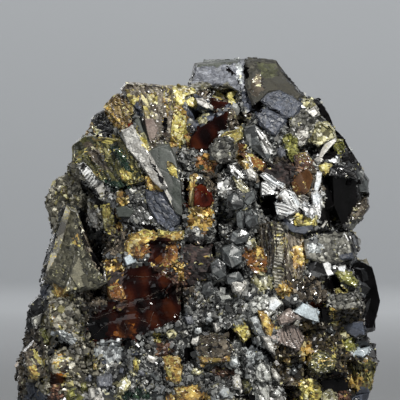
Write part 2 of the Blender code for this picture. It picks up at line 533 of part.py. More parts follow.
def keep_within(cluster, outline):
    """Trims the cluster to the outline's block."""
    trimmed = cluster.modifiers.new("within the outline", "BOOLEAN")
    trimmed.operation = "INTERSECT"
    trimmed.object = outline
    trimmed.solver = "EXACT"
    take_shape(cluster)


def centre_on_origin(mesh):
    """Moves a mesh sideways so that its box is centred over the origin."""
    for axis in (0, 1):
        low = min(vert.co[axis] for vert in mesh.vertices)
        high = max(vert.co[axis] for vert in mesh.vertices)
        for vert in mesh.vertices:
            vert.co[axis] -= (low + high) / 2


def stone_material():
    material = bpy.data.materials.new("sphalerite")
    material.use_nodes = True
    shader = material.node_tree.nodes["Principled BSDF"]
    shader.inputs["Base Color"].default_value = (0.11, 0.095, 0.075, 1)
    shader.inputs["Roughness"].default_value = 0.32
    shader.inputs["Metallic"].default_value = 0.0
    shader.inputs["IOR"].default_value = 2.37
    return material


def build():
    for item in list(bpy.data.objects):
        bpy.data.objects.remove(item, do_unlink=True)
    scene = bpy.context.scene
    rng = random.Random(SEED)
    crystals = bpy.data.collections.new("crystals")
    scene.collection.children.link(crystals)
    cluster = new_object("sphalerite_cluster", heart(), scene.collection)
    for face in SHOW_FACES:
        new_object(face[0], show_crystal(face, rng), crystals)
    for number, bm in enumerate(scattered_crystals(rng)):
        new_object(f"crystal_{number}", bm, crystals)

    outline = outline_block(scene.collection)
    grow_together(cluster, crystals)
    keep_within(cluster, outline)
    for item in [outline, *crystals.objects]:
        bpy.data.objects.remove(item, do_unlink=True)
    bpy.data.collections.remove(crystals)
    centre_on_origin(cluster.data)
    thin = cluster.modifiers.new("thin out slivers", "DECIMATE")
    thin.ratio = MOST_TRIANGLES / len(cluster.data.polygons)
    cut = cluster.modifiers.new("flat foot", "BOOLEAN")
    cut.operation = "DIFFERENCE"
    cut.object = ground_block(scene.collection)
    cut.solver = "EXACT"
    cluster.data.materials.append(stone_material())


build()
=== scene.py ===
"""The looks of a sphalerite specimen: its crystal faces, relief, grains, colours, light and camera."""
import itertools
import math
from collections import namedtuple

import bmesh
import bpy
import numpy as np
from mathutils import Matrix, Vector
from mathutils.bvhtree import BVHTree
from mathutils.geometry import tessellate_polygon


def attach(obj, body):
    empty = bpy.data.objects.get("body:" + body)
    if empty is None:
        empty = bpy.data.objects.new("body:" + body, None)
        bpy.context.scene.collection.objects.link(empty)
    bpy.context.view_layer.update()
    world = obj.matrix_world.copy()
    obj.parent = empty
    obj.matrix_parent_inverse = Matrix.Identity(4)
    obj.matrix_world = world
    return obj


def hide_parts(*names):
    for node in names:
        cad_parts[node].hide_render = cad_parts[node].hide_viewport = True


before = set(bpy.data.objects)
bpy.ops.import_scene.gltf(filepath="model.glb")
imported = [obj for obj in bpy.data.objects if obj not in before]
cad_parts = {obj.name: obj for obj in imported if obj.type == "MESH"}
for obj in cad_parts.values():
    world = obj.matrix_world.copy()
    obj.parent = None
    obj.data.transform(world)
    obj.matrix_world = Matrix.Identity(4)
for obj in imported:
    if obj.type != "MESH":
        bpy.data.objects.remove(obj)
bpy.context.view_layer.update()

MM = 0.001
NODE = "sphalerite_cluster"
SEED = 7

# The photograph's frame. A pixel spans the same length everywhere on the specimen's middle plane.
FRAME_PIXELS = 400
PIXEL = 0.2
MIDDLE_COLUMN = 197.5
FOOT_ROW = 448.0
CAMERA_DISTANCE = 1200.0
SENSOR_WIDTH = 36.0
CAMERA_X = (FRAME_PIXELS / 2 - MIDDLE_COLUMN) * PIXEL
CAMERA_Z = (FOOT_ROW - FRAME_PIXELS / 2) * PIXEL

# Longest edges of the skin's triangles, in millimetres.
FINE_EDGE = 0.46
FRONT_EDGE = 0.8
BACK_EDGE = 1.6
CRYSTAL_EDGE = 0.46

# Each family of surface has tones as (red, green, blue, share) in display values, a roughness, the
# share of places that carry a grain, and the relief of places that no outline covers.
FAMILIES = {
    "grey": (((106, 107, 105, 4), (132, 134, 132, 3), (74, 75, 75, 3), (184, 184, 178, 1), (27, 27, 26, 2)),
             0.32, 0.95, "rough"),
    "ash": (((106, 105, 98, 4), (130, 129, 121, 3), (80, 80, 75, 2), (166, 165, 156, 1), (42, 41, 38, 1)),
            0.4, 0.5, "fine"),
    "dark": (((36, 36, 37, 4), (52, 52, 53, 3), (19, 18, 18, 3), (90, 91, 92, 1)), 0.26, 0.3, "glassy"),
    # The black tones serve real black faces and also gaps and hollows painted black as painted shade.
    "black": (((6, 6, 6, 5), (10, 9, 10, 2)), 0.16, 0.01, "smooth"),
    "violet": (((60, 66, 78, 5), (50, 55, 66, 3), (76, 81, 94, 2)), 0.5, 0.0, "fine"),
    "haze": (((106, 109, 117, 5), (92, 95, 103, 3), (126, 129, 136, 2)), 0.5, 0.0, "fine"),
    "lilac": (((196, 194, 187, 5), (214, 212, 206, 3), (166, 163, 156, 2), (118, 114, 108, 1)),
              0.34, 0.0, "smooth"),
    # These pale striped faces are partly real pale cleavage and partly painted glints and sheen.
    "silver": (((232, 233, 230, 4), (198, 199, 196, 3), (118, 117, 113, 3), (44, 43, 41, 3)),
               0.2, 0.4, "striae"),
    "pearl": (((228, 229, 222, 5), (204, 205, 198, 3), (168, 170, 165, 2), (92, 92, 88, 1)),
              0.24, 0.0, "coarse"),
    # Painted highlights: faces given near-white tones to stand for glints of light.
    "white": (((246, 247, 246, 6), (226, 231, 234, 2)), 0.14, 0.0, "smooth"),
    "cream": (((204, 200, 164, 4), (178, 173, 128, 3), (134, 130, 92, 2), (230, 228, 208, 2),
               (82, 79, 58, 2)), 0.32, 0.4, "rough"),
    "frost": (((180, 185, 186, 4), (158, 163, 163, 3), (212, 216, 216, 2), (96, 98, 99, 2)),
              0.4, 0.9, "fine"),
    "lemon": (((196, 186, 108, 4), (176, 163, 86, 3), (138, 124, 66, 3), (88, 76, 42, 2),
               (224, 219, 172, 2)), 0.36, 0.3, "etched"),
    "gold": (((174, 142, 74, 4), (196, 170, 96, 3), (134, 102, 50, 3), (84, 60, 32, 2),
              (216, 200, 146, 1)), 0.34, 0.3, "rough"),
    "orange": (((50, 33, 22, 4), (80, 53, 31, 4), (114, 78, 44, 3), (150, 116, 68, 1)), 0.22, 0.05, "fine"),
    "ember": (((24, 11, 9, 3), (48, 24, 13, 3), (88, 48, 20, 2), (140, 86, 36, 1)), 0.1, 0.0, "glassy"),
    "loden": (((48, 46, 37, 5), (39, 38, 30, 3), (58, 56, 45, 2), (30, 29, 24, 1)), 0.8, 0.0, "fine"),
    "fern": (((60, 62, 38, 5), (50, 52, 31, 3), (72, 74, 48, 2), (36, 37, 24, 1)), 0.8, 0.0, "fine"),
    "sienna": (((122, 78, 40, 4), (88, 54, 29, 3), (150, 106, 56, 3), (178, 140, 80, 1)), 0.26, 0.1, "fine"),
    "maroon": (((13, 7, 7, 4), (24, 10, 9, 4), (40, 16, 11, 3), (56, 26, 15, 1)), 0.09, 0.0, "glassy"),
    "red": (((62, 22, 14, 3), (90, 32, 19, 4), (106, 42, 24, 2)), 0.14, 0.0, "glassy"),
    "rust": (((104, 74, 58, 4), (80, 54, 42, 3), (134, 104, 82, 2), (50, 33, 26, 2)), 0.34, 0.5, "rough"),
    "plum": (((46, 33, 31, 4), (33, 23, 22, 3), (68, 52, 48, 2), (16, 11, 11, 3)), 0.75, 0.12, "rough"),
    "peat": (((52, 46, 37, 4), (72, 64, 49, 3), (27, 24, 19, 3), (108, 101, 74, 1)), 0.34, 0.3, "rough"),
    "olive": (((86, 84, 50, 4), (62, 62, 35, 3), (112, 108, 66, 2), (41, 43, 27, 3), (164, 159, 112, 1)),
              0.3, 0.02, "etched"),
    "moss": (((88, 86, 71, 4), (74, 72, 59, 3), (110, 107, 90, 2), (50, 49, 41, 2)), 0.4, 0.06, "etched"),
    "emerald": (((34, 54, 43, 5), (24, 39, 33, 3), (58, 78, 58, 2)), 0.24, 0.02, "etched"),
    "green": (((122, 122, 60, 4), (150, 149, 84, 3), (84, 87, 45, 2), (194, 190, 144, 1)),
              0.28, 0.1, "rough"),
    "slate": (((66, 71, 66, 5), (80, 84, 77, 3), (53, 58, 54, 2)), 0.4, 0.0, "smooth"),
    "block": (((78, 82, 83, 4), (98, 102, 102, 3), (52, 54, 55, 3), (128, 130, 129, 1)), 0.34, 0.0, "smooth"),
    "etched": (((128, 119, 105, 4), (102, 93, 81, 3), (160, 152, 135, 2), (62, 53, 46, 3),
                (198, 190, 148, 1)), 0.32, 0.05, "etched"),
    "brown": (((134, 113, 70, 4), (104, 84, 50, 3), (162, 141, 92, 2), (66, 50, 31, 2)), 0.3, 0.04, "etched"),
    "umber": (((92, 84, 72, 4), (68, 61, 52, 3), (124, 114, 99, 2), (28, 24, 21, 3)), 0.24, 0.5, "rough"),
    "beige": (((146, 142, 126, 4), (118, 114, 99, 3), (180, 176, 160, 2), (76, 72, 60, 3),
               (150, 143, 98, 1)), 0.46, 0.9, "rough"),
    "rose": (((150, 136, 128, 5), (124, 110, 103, 3), (188, 177, 170, 1)), 0.28, 0.0, "smooth"),
    "sky": (((192, 204, 210, 5), (178, 191, 199, 3), (214, 223, 227, 2)), 0.26, 0.0, "smooth"),
}
NAMES = tuple(FAMILIES)

# Each relief has a cell width, how many times longer a cell is than wide, the height of its steps,
# and the spacing and height of grooves, in millimetres.
RELIEFS = {
    "rough": (1.05, 1.0, 0.5, 0.0, 0.0),
    "fine": (0.7, 1.0, 0.16, 0.0, 0.0),
    "etched": (0.62, 4.0, 0.34, 0.0, 0.0),
    "striae": (0.8, 7.0, 0.14, 0.62, 0.16),
    "rungs": (1.4, 2.0, 0.08, 0.62, 0.26),
    "smooth": (2.6, 1.4, 0.07, 0.0, 0.0),
    "glassy": (2.4, 2.0, 0.2, 0.0, 0.0),
    "coarse": (1.9, 1.2, 0.75, 0.0, 0.0),
    "facet": (2.0, 1.2, 0.1, 0.0, 0.0),
}
CREVICE_WIDTH = 0.2  # as a share of a cell's width
# The share of a relief's colour kept in the crevices between its cells, as painted shade.
CREVICE_PAINTED_SHADE = {"rough": 0.28, "coarse": 0.15, "fine": 0.85, "etched": 0.4, "facet": 0.6}

# A dusting of yellow lies over some families: the share of small flecks, and how wide its veins are.
DUSTING = {
    "etched": (0.12, 0.04), "olive": (0.16, 0.1), "brown": (0.18, 0.08), "gold": (0.16, 0.1),
    "lemon": (0.12, 0.06),
    "orange": (0.1, 0.06), "sienna": (0.14, 0.12), "red": (0.0, 0.02), "umber": (0.05, 0.02),
    "beige": (0.14, 0.04), "moss": (0.06, 0.02), "emerald": (0.04, 0.02), "rust": (0.1, 0.06),
    "plum": (0.05, 0.02), "lilac": (0.02, 0.0), "grey": (0.1, 0.03), "dark": (0.03, 0.0), "peat": (0.16, 0.1),
    "frost": (0.05, 0.0), "ash": (0.04, 0.0),
}
FLECK_WIDTH = 0.34
FLECK_STRETCH = 3.0
FLECK_BEND = 0.35
FLECK_BEND_LENGTH = 0.9
FLECK_ROUGHNESS = 0.35
GOLDEN_FLECKS = 0.28
VEIN_LENGTH = 2.6
# The dusting is thicker in clouds.
CLOUD_LENGTH = 5.0
CLOUD_MEAN = 0.3
CLOUD_STRENGTH = 0.8
MOST_CLOUDED = 2
CLOUDED_FLECKS = 1.6
CLOUDED_VEINS = (0.2, 1.5)
PATCH_WIDTH = 6.0
PATCH_STRENGTH = 0.24
PATCH_LIMITS = (0.4, 1.7)
PATCHY_GRAIN = 0.2  # families with more grain than this lie in patches

# What grows on the faces that the photograph doesn't show, as (family, share).
ELSEWHERE = (("grey", 26), ("umber", 9), ("black", 10), ("dark", 7), ("beige", 10), ("moss", 5),
             ("haze", 6), ("gold", 6), ("olive", 6), ("etched", 7), ("brown", 4), ("plum", 2), ("lemon", 3))

# Outlines in the photograph, painted in this order. Each has a family, a relief, up to four numbers of
# which those left out are 0, and its corners as columns and rows of pixels. The numbers are the direction
# of its streaks in degrees below rightwards, how far it stands proud in millimetres (0 is only painted),
# and how far it turns right and looks up in degrees. The first five are plain ground.
# Some black outlines are real black faces; others are gaps and hollows painted black as painted shade.
OUTLINE_ROWS = (
    # The granular groundmass of the middle, the lower left and the left flank.
    ("grey", "rough", (80, 60, 380, 60, 380, 400, 14, 400, 14, 180)),
    ("beige", "coarse", (14, 300, 60, 290, 96, 300, 104, 345, 96, 400, 14, 400)),
    ("umber", "rough", (76, 282, 108, 270, 112, 300, 92, 342, 80, 336, 84, 306)),
    ("umber", "rough", (255, 168, 276, 158, 300, 156, 314, 164, 322, 176, 318, 216, 286, 218, 262, 214)),
    ("peat", "rough", (306, 300, 364, 306, 366, 330, 372, 372, 340, 400, 270, 400, 272, 350, 300, 320)),
    # The top block, its dark strips, its ledge and chips.
    ("haze", "fine", 0, 0.5, (191, 84, 196, 64, 238, 60, 245, 62, 245, 84, 240, 91, 228, 86, 214, 84, 204,
     88)),
    ("frost", "fine", 85, (236, 63, 241, 63, 243, 82, 238, 84)),
    ("dark", "smooth", (187, 89, 189, 80, 192, 68, 196, 59, 199, 60, 194, 68, 192, 88)),
    ("slate", "smooth", (197, 57, 240, 58, 238, 64, 226, 64, 216, 67, 204, 66, 196, 66)),
    ("black", "smooth", (226, 66, 228, 67, 235, 75, 234, 77, 226, 72)),
    ("black", "smooth", (236, 81, 240, 81, 240, 84, 237, 84)),
    ("moss", "fine", (190, 85, 204, 81, 213, 84, 214, 88, 200, 90, 189, 89)),
    ("moss", "fine", (218, 86, 228, 83, 238, 92, 232, 94, 222, 90)),
    # The hollow below the top block, with its yellow stars and pale ledge.
    ("lemon", "fine", 60, 0.3, (169, 89, 190, 87, 197, 92, 186, 96, 185, 104, 178, 106, 173, 98)),
    ("umber", "rough", (196, 90, 216, 88, 214, 98, 230, 96, 236, 106, 222, 113, 214, 112, 206, 103, 199,
     97)),
    ("maroon", "glassy", (206, 93, 215, 92, 214, 99, 224, 101, 230, 98, 230, 106, 216, 111, 208, 102)),
    ("lemon", "smooth", 0, 0.5, 6, 20, (215, 91, 218, 90, 225, 96, 220, 99, 216, 98)),
    ("lemon", "smooth", 0, 0.5, 12, 8, (228, 93, 233, 91, 236, 94, 232, 97, 237, 102, 234, 110, 230, 101,
     227, 97)),
    ("silver", "smooth", 0, 0.5, 5, 20, (208, 98, 213, 91, 215, 91, 210, 99)),
    ("violet", "rough", (184, 108, 190, 106, 199, 98, 207, 101, 214, 112, 222, 111, 232, 104, 233, 109, 215,
     120, 197, 129, 194, 126, 188, 115)),
    ("lilac", "smooth", 30, 0.3, 20, 20, (196, 98, 206, 101, 213, 110, 206, 108, 198, 103)),
    ("cream", "rough", (199, 111, 206, 108, 208, 120, 204, 124, 196, 120, 201, 117)),
    ("lemon", "smooth", 0, 0.6, 10, 15, (186, 101, 193, 97, 199, 103, 193, 107, 188, 105)),
    ("gold", "fine", 0, 0.3, (167, 108, 180, 106, 187, 112, 187, 128, 185, 140, 182, 147, 170, 149, 167,
     130)),
    ("lemon", "fine", 70, (171, 114, 180, 111, 186, 118, 186, 138, 182, 147, 176, 146, 169, 130)),
    ("maroon", "smooth", 0, 0.6, (190, 149, 190, 139, 198, 129, 214, 119, 232, 109, 233, 117, 227, 128, 216,
     138, 209, 149)),
    ("umber", "rough", (229, 110, 242, 111, 241, 125, 228, 132, 227, 120)),
    ("sienna", "fine", 0, 0.3, -10, (184, 136, 190, 132, 193, 145, 188, 148)),
    ("etched", "rough", (236, 112, 250, 112, 252, 126, 238, 128)),
    ("violet", "rough", 80, (241, 89, 247, 89, 253, 100, 255, 113, 248, 113, 243, 101)),
    # The olive crystal and the rounded grey lumps at the upper right.
    ("loden", "fine", 70, 0.5, (246, 62, 262, 60, 276, 62, 284, 74, 292, 83, 303, 95, 298, 100, 280, 91,
     268, 92, 254, 106, 249, 95, 246, 84)),
    ("fern", "fine", 70, (256, 62, 275, 63, 278, 74, 272, 84, 264, 78, 258, 70)),
    ("umber", "smooth", 70, (252, 76, 261, 74, 264, 90, 257, 97, 250, 90)),
    ("loden", "smooth", 70, (266, 78, 284, 75, 292, 88, 300, 97, 280, 91, 266, 92)),
    ("dark", "smooth", (276, 61, 280, 62, 289, 76, 306, 93, 304, 97, 286, 79)),
    ("black", "smooth", (244, 66, 248, 67, 249, 77, 245, 80)),
    ("violet", "fine", 0, 0.7, (261, 100, 268, 93, 280, 90, 293, 96, 302, 103, 299, 112, 291, 118, 285, 117,
     277, 112)),
    ("violet", "fine", 0, 1.0, (256, 115, 262, 109, 270, 110, 280, 115, 287, 120, 283, 127, 276, 136, 268,
     131, 260, 124)),
    ("black", "smooth", (253, 104, 262, 101, 263, 108, 258, 114, 254, 113)),
    ("black", "smooth", (268, 108, 280, 111, 279, 113, 268, 110)),
    ("black", "smooth", (287, 117, 290, 117, 290, 132, 287, 131)),
    ("ash", "rough", 0, 0.7, (290, 119, 298, 112, 308, 114, 315, 122, 312, 132, 309, 142, 300, 147, 292,
     138)),
    ("lilac", "rough", (299, 130, 306, 128, 309, 138, 303, 146, 298, 142)),
    ("cream", "rough", 0, 0.5, 15, 10, (301, 103, 306, 100, 312, 102, 312, 106, 306, 108, 302, 106)),
    ("white", "smooth", 0, 0.7, 15, 20, (300, 104, 303, 105, 306, 108, 302, 108)),
    ("lilac", "smooth", 0, 0.5, 20, 15, (307, 111, 314, 107, 318, 113, 314, 117, 310, 115)),
    ("black", "glassy", (312, 100, 320, 99, 325, 106, 330, 115, 336, 128, 345, 138, 348, 147, 340, 142, 333,
     135, 325, 123, 318, 112)),
    ("cream", "rough", 0, 1.2, 8, 5, (311, 132, 317, 124, 326, 124, 333, 131, 334, 137, 327, 142, 318, 146,
     311, 142)),
    ("black", "glassy", (317, 162, 322, 152, 333, 140, 344, 140, 350, 152, 340, 156, 330, 158, 323, 166)),
    ("lilac", "smooth", 120, 0.9, 15, 5, (335, 138, 336, 141, 329, 149, 323, 156, 319, 163, 317, 161, 321,
     151, 325, 144)),
    ("green", "rough", 0, 0.6, 20, (334, 145, 338, 140, 343, 142, 344, 150, 340, 155, 335, 150)),
    ("white", "smooth", 0, 0.8, 10, 25, (328, 161, 333, 158, 337, 160, 335, 163)),
    ("dark", "glassy", 30, (337, 158, 346, 149, 355, 158, 356, 166, 351, 173, 343, 167)),
    ("dark", "fine", (352, 153, 357, 158, 364, 168, 371, 182, 369, 194, 362, 207, 356, 208, 357, 190, 353,
     172, 356, 165)),
    ("block", "facet", 0, 0.3, 30, (357, 172, 362, 170, 368, 180, 367, 192, 360, 192)),
    ("lemon", "fine", 0, 0.8, 5, 5, (319, 166, 326, 163, 332, 165, 333, 171, 329, 177, 323, 174)),
    ("green", "rough", 60, 0.5, 0, 5, (283, 138, 289, 133, 297, 140, 297, 149, 299, 156, 292, 161, 287, 151,
     285, 144)),
    ("rust", "fine", 60, 0.3, 0, 6, (294, 155, 306, 153, 312, 163, 307, 172, 297, 170)),
    # The etched prism, the brown crystal and the sparkling block at the upper left.
    ("etched", "etched", 60, 0.4, (122, 90, 127, 84, 150, 86, 171, 88, 173, 110, 170, 135, 168, 144, 150,
     152, 144, 134, 140, 110, 132, 103)),
    ("silver", "etched", 60, (120, 93, 124, 90, 132, 104, 131, 110, 127, 106)),
    ("lemon", "fine", 60, (126, 90, 129, 90, 138, 99, 136, 106, 131, 104, 127, 96)),
    ("lemon", "fine", 60, (149, 94, 155, 92, 159, 97, 157, 104, 152, 99)),
    ("lemon", "smooth", 60, 0.4, 10, 10, (143, 106, 147, 107, 150, 113, 155, 122, 149, 117, 145, 118, 144,
     112)),
    ("violet", "etched", 70, (134, 103, 139, 102, 145, 118, 141, 119, 136, 112)),
    ("slate", "smooth", 60, (132, 119, 142, 117, 148, 134, 150, 149, 145, 147, 138, 132)),
    ("rose", "smooth", 60, 0.3, 14, 4, (145, 119, 153, 119, 162, 133, 163, 142, 150, 143, 147, 131)),
    ("black", "rough", (161, 118, 167, 117, 168, 131, 163, 133)),
    ("umber", "rough", (150, 142, 163, 136, 170, 138, 166, 145, 150, 151)),
    ("black", "smooth", (150, 151, 160, 148, 169, 142, 168, 147, 158, 151)),
    ("brown", "etched", 60, 0.7, (117, 95, 122, 96, 132, 108, 132, 122, 127, 128, 118, 122, 105, 108)),
    ("gold", "fine", 60, (103, 109, 109, 105, 123, 125, 122, 131, 114, 128, 108, 119)),
    ("red", "glassy", (121, 129, 131, 123, 131, 126, 126, 132)),
    # A gap painted black as painted shade.
    ("black", "smooth", (130, 113, 134, 115, 133, 125, 131, 125)),
    ("dark", "rough", 0, 0.4, (92, 119, 103, 112, 108, 122, 114, 131, 105, 135, 98, 137, 92, 128)),
    ("gold", "rough", (84, 132, 91, 122, 95, 128, 92, 136)),
    ("cream", "rough", (93, 126, 100, 130, 99, 135, 94, 132)),
    ("black", "smooth", (99, 137, 114, 131, 116, 134, 104, 139)),
    # The olive crystal with its green heart, the pale slab and the slate face beside it.
    ("olive", "etched", 52, 0.5, (74, 146, 84, 136, 94, 138, 121, 140, 129, 150, 136, 162, 144, 180, 132,
     184, 118, 188, 100, 180, 84, 166, 74, 162)),
    ("umber", "etched", 52, (84, 142, 92, 142, 106, 162, 112, 172, 104, 170, 90, 158)),
    ("lemon", "etched", 10, (92, 138, 121, 137, 120, 141, 108, 143, 96, 142)),
    ("emerald", "etched", 52, (109, 148, 118, 145, 127, 158, 132, 172, 126, 170, 116, 160)),
    ("emerald", "etched", 52, (100, 178, 116, 180, 131, 186, 129, 193, 118, 193, 104, 188)),
    ("lemon", "etched", 52, (120, 169, 132, 173, 130, 180, 121, 177)),
    ("lilac", "fine", 60, 1.4, (122, 132, 131, 126, 140, 138, 149, 153, 163, 179, 167, 187, 161, 189, 153,
     182, 138, 162, 126, 147)),
    ("lemon", "fine", 60, (134, 124, 137, 127, 147, 140, 150, 151, 147, 152, 141, 141)),
    ("slate", "smooth", 62, 0.7, (148, 152, 158, 147, 169, 145, 176, 160, 181, 184, 182, 216, 176, 213, 166,
     189, 156, 170)),
    ("black", "smooth", (148, 158, 151, 160, 165, 182, 162, 185)),
    ("lilac", "smooth", 0, 0.3, 20, 5, (160, 182, 163, 183, 180, 212, 180, 217, 175, 212)),
    ("lemon", "rough", 0, 0.4, 0, 10, (130, 175, 135, 176, 136, 184, 132, 189, 129, 182)),
    ("gold", "rough", 0, 0.4, 5, 10, (146, 177, 152, 176, 159, 184, 164, 190, 154, 192, 147, 186)),
    ("lemon", "rough", (166, 165, 170, 162, 178, 170, 178, 178, 170, 174)),
    ("silver", "rungs", 128, 0.5, -14, 8, (78, 165, 83, 163, 90, 170, 99, 181, 102, 183, 97, 188, 91, 186,
     84, 176)),
    ("lilac", "smooth", 0, 0.6, -10, 6, (96, 189, 103, 183, 104, 186, 104, 196, 101, 199)),
    ("silver", "rough", (105, 184, 112, 188, 118, 192, 112, 199, 107, 194)),
    # The striped grey face, the small spots left of it and the band above the amber window.
    ("grey", "etched", 55, (130, 192, 142, 188, 152, 200, 156, 222, 136, 222, 130, 210)),
    ("violet", "etched", 58, 0.4, (146, 190, 168, 192, 180, 214, 178, 224, 168, 230, 158, 222, 148, 204)),
    ("slate", "smooth", 0, 0.4, -6, (115, 208, 126, 206, 134, 211, 130, 217, 118, 217)),
    ("gold", "rough", 0, 0.6, 0, 5, (118, 193, 122, 191, 127, 203, 123, 208, 118, 202)),
    ("black", "smooth", (122, 221, 136, 222, 152, 226, 170, 231, 168, 234, 146, 230, 128, 225)),
    ("umber", "rough", (103, 232, 116, 228, 132, 228, 128, 240, 124, 254, 104, 256)),
    ("lemon", "fine", 80, 0.4, (102, 204, 109, 203, 111, 218, 114, 230, 110, 237, 104, 229, 101, 216)),
    ("maroon", "glassy", (112, 205, 115, 206, 118, 220, 119, 232, 115, 231, 112, 216)),
    ("gold", "rough", 80, (116, 214, 119, 216, 122, 230, 118, 230)),
    ("gold", "fine", 0, 0.3, (124, 242, 134, 234, 144, 229, 156, 232, 170, 234, 181, 232, 182, 239, 170,
     241, 150, 240, 140, 247, 136, 257, 126, 257)),
    ("lemon", "fine", 0, 0.4, 0, 4, (158, 230, 170, 232, 182, 231, 183, 235, 168, 237, 158, 235)),
    # The amber window.
    ("plum", "rough", (184, 240, 204, 238, 215, 250, 214, 264, 206, 282, 188, 286, 182, 262)),
    ("plum", "fine", (103, 268, 124, 270, 124, 288, 104, 290)),
    ("gold", "rough", (104, 258, 122, 260, 122, 272, 106, 270)),
    ("sky", "smooth", 0, 0.5, 0, 15, (124, 258, 130, 254, 135, 262, 127, 265)),
    ("maroon", "glassy", (148, 242, 156, 238, 168, 238, 178, 243, 180, 258, 170, 264, 158, 268, 148, 260)),
    ("sienna", "fine", 0, 0.2, 0, 4, (134, 246, 144, 240, 150, 244, 148, 254, 141, 259, 134, 257)),
    ("ember", "glassy", 40, (154, 257, 162, 250, 168, 248, 168, 258, 162, 264, 154, 264)),
    ("sienna", "fine", 40, 0.2, 0, 4, (168, 246, 176, 243, 180, 254, 176, 264, 168, 268, 158, 268, 166,
     260)),
    ("black", "glassy", (146, 246, 151, 243, 154, 252, 148, 257)),
    ("maroon", "glassy", (122, 268, 146, 264, 166, 272, 178, 282, 192, 286, 184, 300, 178, 318, 165, 326,
     150, 331, 135, 337, 118, 341, 91, 343, 87, 322, 104, 304, 118, 300)),
    ("rust", "etched", 50, (144, 262, 156, 263, 170, 272, 180, 278, 190, 272, 190, 284, 180, 290, 170, 280,
     158, 272)),
    ("gold", "rough", (172, 262, 184, 262, 186, 280, 178, 280)),
    ("sienna", "fine", 0, 0.3, (107, 287, 118, 284, 124, 291, 122, 300, 110, 299)),
    ("black", "glassy", (87, 319, 106, 318, 104, 336, 92, 342)),
    ("rust", "etched", 0, 0.2, (115, 307, 121, 302, 127, 301, 126, 306, 120, 311)),
    ("ember", "glassy", 90, (114, 337, 119, 327, 124, 318, 131, 324, 137, 333, 128, 338)),
    ("black", "smooth", (150, 297, 168, 289, 169, 298, 152, 301)),
    ("umber", "rough", (178, 291, 192, 286, 196, 296, 186, 306, 180, 304)),
    # Below the window.
    ("frost", "fine", (91, 346, 104, 342, 122, 341, 126, 352, 122, 360, 108, 362, 97, 357)),
    # A hollow painted black as painted shade.
    ("black", "smooth", (122, 338, 133, 338, 131, 343, 128, 355, 124, 352)),
    ("lemon", "rough", (151, 332, 160, 332, 161, 342, 154, 343)),
    ("rust", "rough", (158, 343, 168, 341, 173, 352, 167, 361, 158, 357)),
    ("gold", "fine", 80, 0.2, (162, 357, 172, 356, 180, 356, 183, 372, 180, 386, 168, 380)),
    ("lemon", "fine", 80, (165, 367, 171, 368, 172, 376, 167, 375)),
    ("black", "smooth", (183, 350, 190, 345, 197, 350, 191, 363, 184, 367)),
    ("gold", "fine", 0, 0.3, 0, 4, (174, 388, 196, 384, 202, 396, 198, 402, 178, 402)),
    ("cream", "fine", 30, 0.7, 6, 10, (117, 385, 127, 376, 132, 383, 126, 392, 118, 394)),
    ("haze", "fine", 0, 0.6, 4, 8, (97, 377, 112, 374, 112, 387, 98, 387)),
    ("lilac", "fine", 0, 0.3, 0, 8, (89, 389, 97, 387, 98, 398, 90, 400)),
    ("lemon", "rough", 80, 0.3, (134, 358, 137, 358, 138, 370, 134, 370)),
    ("emerald", "rough", (124, 391, 144, 390, 146, 402, 124, 402)),
    # The left flank: dark lumps, the pale-rimmed triangle and its amber spot.
    ("beige", "rough", (66, 166, 77, 164, 84, 178, 80, 188, 60, 208, 58, 230, 44, 224, 44, 200, 56, 178)),
    ("beige", "rough", (60, 180, 70, 175, 82, 186, 90, 198, 80, 202, 66, 207, 60, 200)),
    # A gap painted black as painted shade.
    ("black", "smooth", (78, 180, 85, 182, 93, 190, 101, 202, 103, 212, 98, 207, 88, 195, 79, 188)),
    ("beige", "rough", 60, (66, 204, 80, 197, 92, 202, 101, 214, 101, 228, 97, 232, 92, 224, 86, 214, 78,
     208)),
    ("lilac", "rough", 60, (84, 206, 92, 206, 99, 222, 97, 231, 91, 224)),
    ("moss", "fine", 58, 0.4, (66, 206, 76, 211, 82, 228, 88, 246, 104, 270, 106, 282, 96, 288, 70, 292, 46,
     278, 56, 236)),
    ("moss", "smooth", 60, 0.2, (80, 250, 90, 261, 103, 278, 100, 284, 78, 288, 70, 276, 74, 262)),
    ("beige", "smooth", 0, 0.9, -25, 6, (66, 206, 70, 211, 63, 238, 56, 262, 50, 282, 44, 278, 50, 256, 58,
     230)),
    ("umber", "smooth", 60, (79, 226, 86, 229, 92, 242, 99, 254, 106, 270, 106, 282, 97, 270, 88, 254, 81,
     240)),
    ("black", "smooth", (88, 250, 94, 250, 104, 270, 104, 279, 97, 268)),
    ("gold", "fine", 50, 0.4, (70, 238, 77, 232, 81, 240, 88, 254, 84, 253, 77, 247, 71, 246)),
    ("lemon", "rough", 0, 0.4, (61, 188, 64, 186, 67, 194, 67, 199, 64, 197, 62, 194)),
    ("dark", "smooth", (46, 238, 57, 233, 53, 250, 46, 264, 42, 282, 36, 281, 35, 270, 44, 261)),
    ("dark", "fine", (28, 306, 36, 296, 47, 298, 46, 308, 36, 316, 31, 332, 26, 332)),
    ("dark", "facet", 0, 0.5, -24, 8, (30, 305, 38, 297, 48, 300, 45, 312, 37, 318, 31, 318)),
    ("gold", "fine", 60, 0.4, (52, 281, 62, 279, 68, 290, 65, 299, 58, 302, 54, 292)),
    ("green", "fine", 40, 0.8, 0, 6, (50, 312, 55, 308, 62, 316, 66, 326, 61, 331, 53, 322)),
    ("green", "fine", 60, 0.4, (38, 330, 44, 329, 48, 341, 43, 345, 40, 338)),
    ("ash", "fine", 0, 0.5, -5, 10, (32, 319, 42, 314, 41, 325, 34, 328)),
    ("umber", "fine", 40, (28, 330, 38, 328, 46, 346, 48, 356, 40, 360, 24, 350)),
    # Two hollows painted black as painted shade.
    ("black", "smooth", (49, 350, 57, 339, 57, 352, 50, 357)),
    ("black", "rough", (60, 339, 68, 342, 69, 350, 62, 350)),
